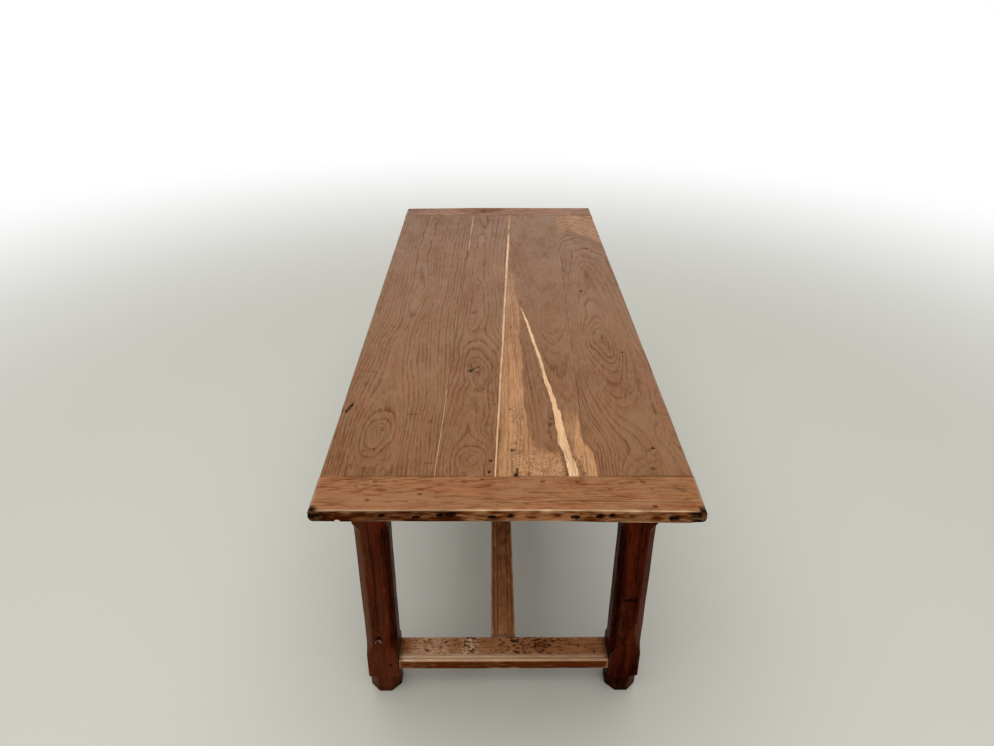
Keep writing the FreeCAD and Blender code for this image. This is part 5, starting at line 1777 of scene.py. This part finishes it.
@dataclass
class Studio:
    """A plain pale floor, soft light and the camera. Lengths are in metres, the sensor's in mm.

    Each lamp has its name, place, size and power in watts.
    """

    floor_radius: float = 14.0
    floor_sides: int = 96
    floor_paint: str = "CECDC2"
    white: str = "FFFFFF"
    fade_from: float = 1.6
    fade_to: float = 5.5
    room_light: float = 0.55
    lamps: tuple[tuple[str, tuple[float, float, float], float, float], ...] = (
        ("overhead_lamp", (-0.4, -0.9, 4.2), 4.5, 105.0), ("fill_lamp", (0.9, -4.2, 2.6), 2.6, 16.0),
    )
    lamps_aim: tuple[float, float, float] = (0.0, 0.0, 0.5)
    camera_at: tuple[float, float, float] = (-0.0332, -2.1272, 1.6876)
    pitch: float = 29.007
    yaw: float = 0.5477
    roll: float = 0.2699
    focal_pixels: float = 746.15
    image_width: int = 994
    sensor: float = 36.0

    def build(self) -> None:
        """Makes the floor, the lights and the camera."""
        self.floor()
        self.lights()
        self.camera()

    def floor(self) -> None:
        """Makes a pale grey floor that fades to white away from the table."""
        mesh = bpy.data.meshes.new("studio_floor")
        turns = np.linspace(0, 2 * math.pi, self.floor_sides + 1)[:-1]
        rim = [(self.floor_radius * math.cos(a), self.floor_radius * math.sin(a), 0.0) for a in turns]
        mesh.from_pydata(rim, [], [range(len(rim))])
        floor = bpy.data.objects.new("studio_floor", mesh)
        bpy.context.scene.collection.objects.link(floor)
        material = bpy.data.materials.new("painted_floor")
        material.use_nodes = True
        tree = material.node_tree
        tree.nodes.clear()
        place = add_node(tree, "ShaderNodeNewGeometry").outputs["Position"]
        away = add_node(tree, VECTOR, {"operation": "LENGTH"}, {0: place}).outputs["Value"]
        fade = add_node(tree, RANGE, SMOOTH, {0: away, 1: self.fade_from, 2: self.fade_to, 3: 0.0, 4: 1.0})
        paint = add_node(tree, "ShaderNodeBsdfPrincipled", {},
                         {"Base Color": linear(self.floor_paint), "Roughness": 0.55})
        white = add_node(tree, "ShaderNodeEmission", {}, {"Color": linear(self.white), "Strength": 1.0})
        both = add_node(tree, "ShaderNodeMixShader", {}, {0: fade, 1: paint, 2: white})
        add_node(tree, "ShaderNodeOutputMaterial", {}, {0: both})
        mesh.materials.append(material)

    def lights(self) -> None:
        """Lights the table from a white room and a large soft lamp overhead."""
        world = bpy.data.worlds.new("white_room")
        bpy.context.scene.world = world
        world.use_nodes = True
        tree = world.node_tree
        tree.nodes.clear()
        ray = add_node(tree, "ShaderNodeLightPath")
        seen = ray.outputs["Is Camera Ray"]
        for kind in ("Is Glossy Ray", "Is Transmission Ray"):
            seen = add_node(tree, MATH, MOST, {0: seen, 1: ray.outputs[kind]})
        level = add_node(tree, RANGE, {}, {0: seen, 3: self.room_light, 4: 1.0})
        sky = add_node(tree, "ShaderNodeBackground", {}, {"Color": linear(self.white), "Strength": level})
        add_node(tree, "ShaderNodeOutputWorld", {}, {0: sky})
        for name, place, size, power in self.lamps:
            lamp = bpy.data.lights.new(name, "AREA")
            lamp.size = size
            lamp.energy = power
            item = bpy.data.objects.new(name, lamp)
            item.location = place
            aim = Vector(self.lamps_aim) - Vector(place)
            item.rotation_euler = aim.to_track_quat("-Z", "Y").to_euler()
            bpy.context.scene.collection.objects.link(item)

    def camera(self) -> None:
        """Stands the camera where the photograph was taken from."""
        pitch, yaw, roll = (math.radians(angle) for angle in (self.pitch, self.yaw, self.roll))
        level = Vector((math.sin(yaw), math.cos(yaw), 0))
        side = Vector((math.cos(yaw), -math.sin(yaw), 0))
        rise = Vector((0, 0, 1))
        ahead = level * math.cos(pitch) - rise * math.sin(pitch)
        upright = level * math.sin(pitch) + rise * math.cos(pitch)
        right = side * math.cos(roll) + upright * math.sin(roll)
        top = upright * math.cos(roll) - side * math.sin(roll)
        lens = bpy.data.cameras.new("photo_camera")
        lens.sensor_fit = "HORIZONTAL"
        lens.sensor_width = self.sensor
        lens.lens = self.focal_pixels / self.image_width * self.sensor
        camera = bpy.data.objects.new("photo_camera", lens)
        turn = Matrix((right, top, -ahead)).transposed()
        camera.matrix_world = Matrix.Translation(self.camera_at) @ turn.to_4x4()
        bpy.context.scene.collection.objects.link(camera)
        bpy.context.scene.camera = camera


def dress_hidden() -> None:
    """Gives the nodes that stay hidden in the joints their finish."""
    for node in ("loose_tongue_left", "loose_tongue_middle", "loose_tongue_right"):
        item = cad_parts[node]
        item.data.materials.clear()
        item.data.materials.append(RAW_OAK.material())
        log.info("%s keeps its shape", node)


def main() -> None:
    """Builds the table's looks."""
    logging.basicConfig(level=logging.INFO, format="%(name)s: %(message)s")
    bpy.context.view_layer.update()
    for assembly in (TableTop(), Legs(), Rails(), Pegs()):
        assembly.build()
    dress_hidden()
    Studio().build()
    bpy.context.scene.view_settings.view_transform = "Standard"


if __name__ == "__main__":
    main()
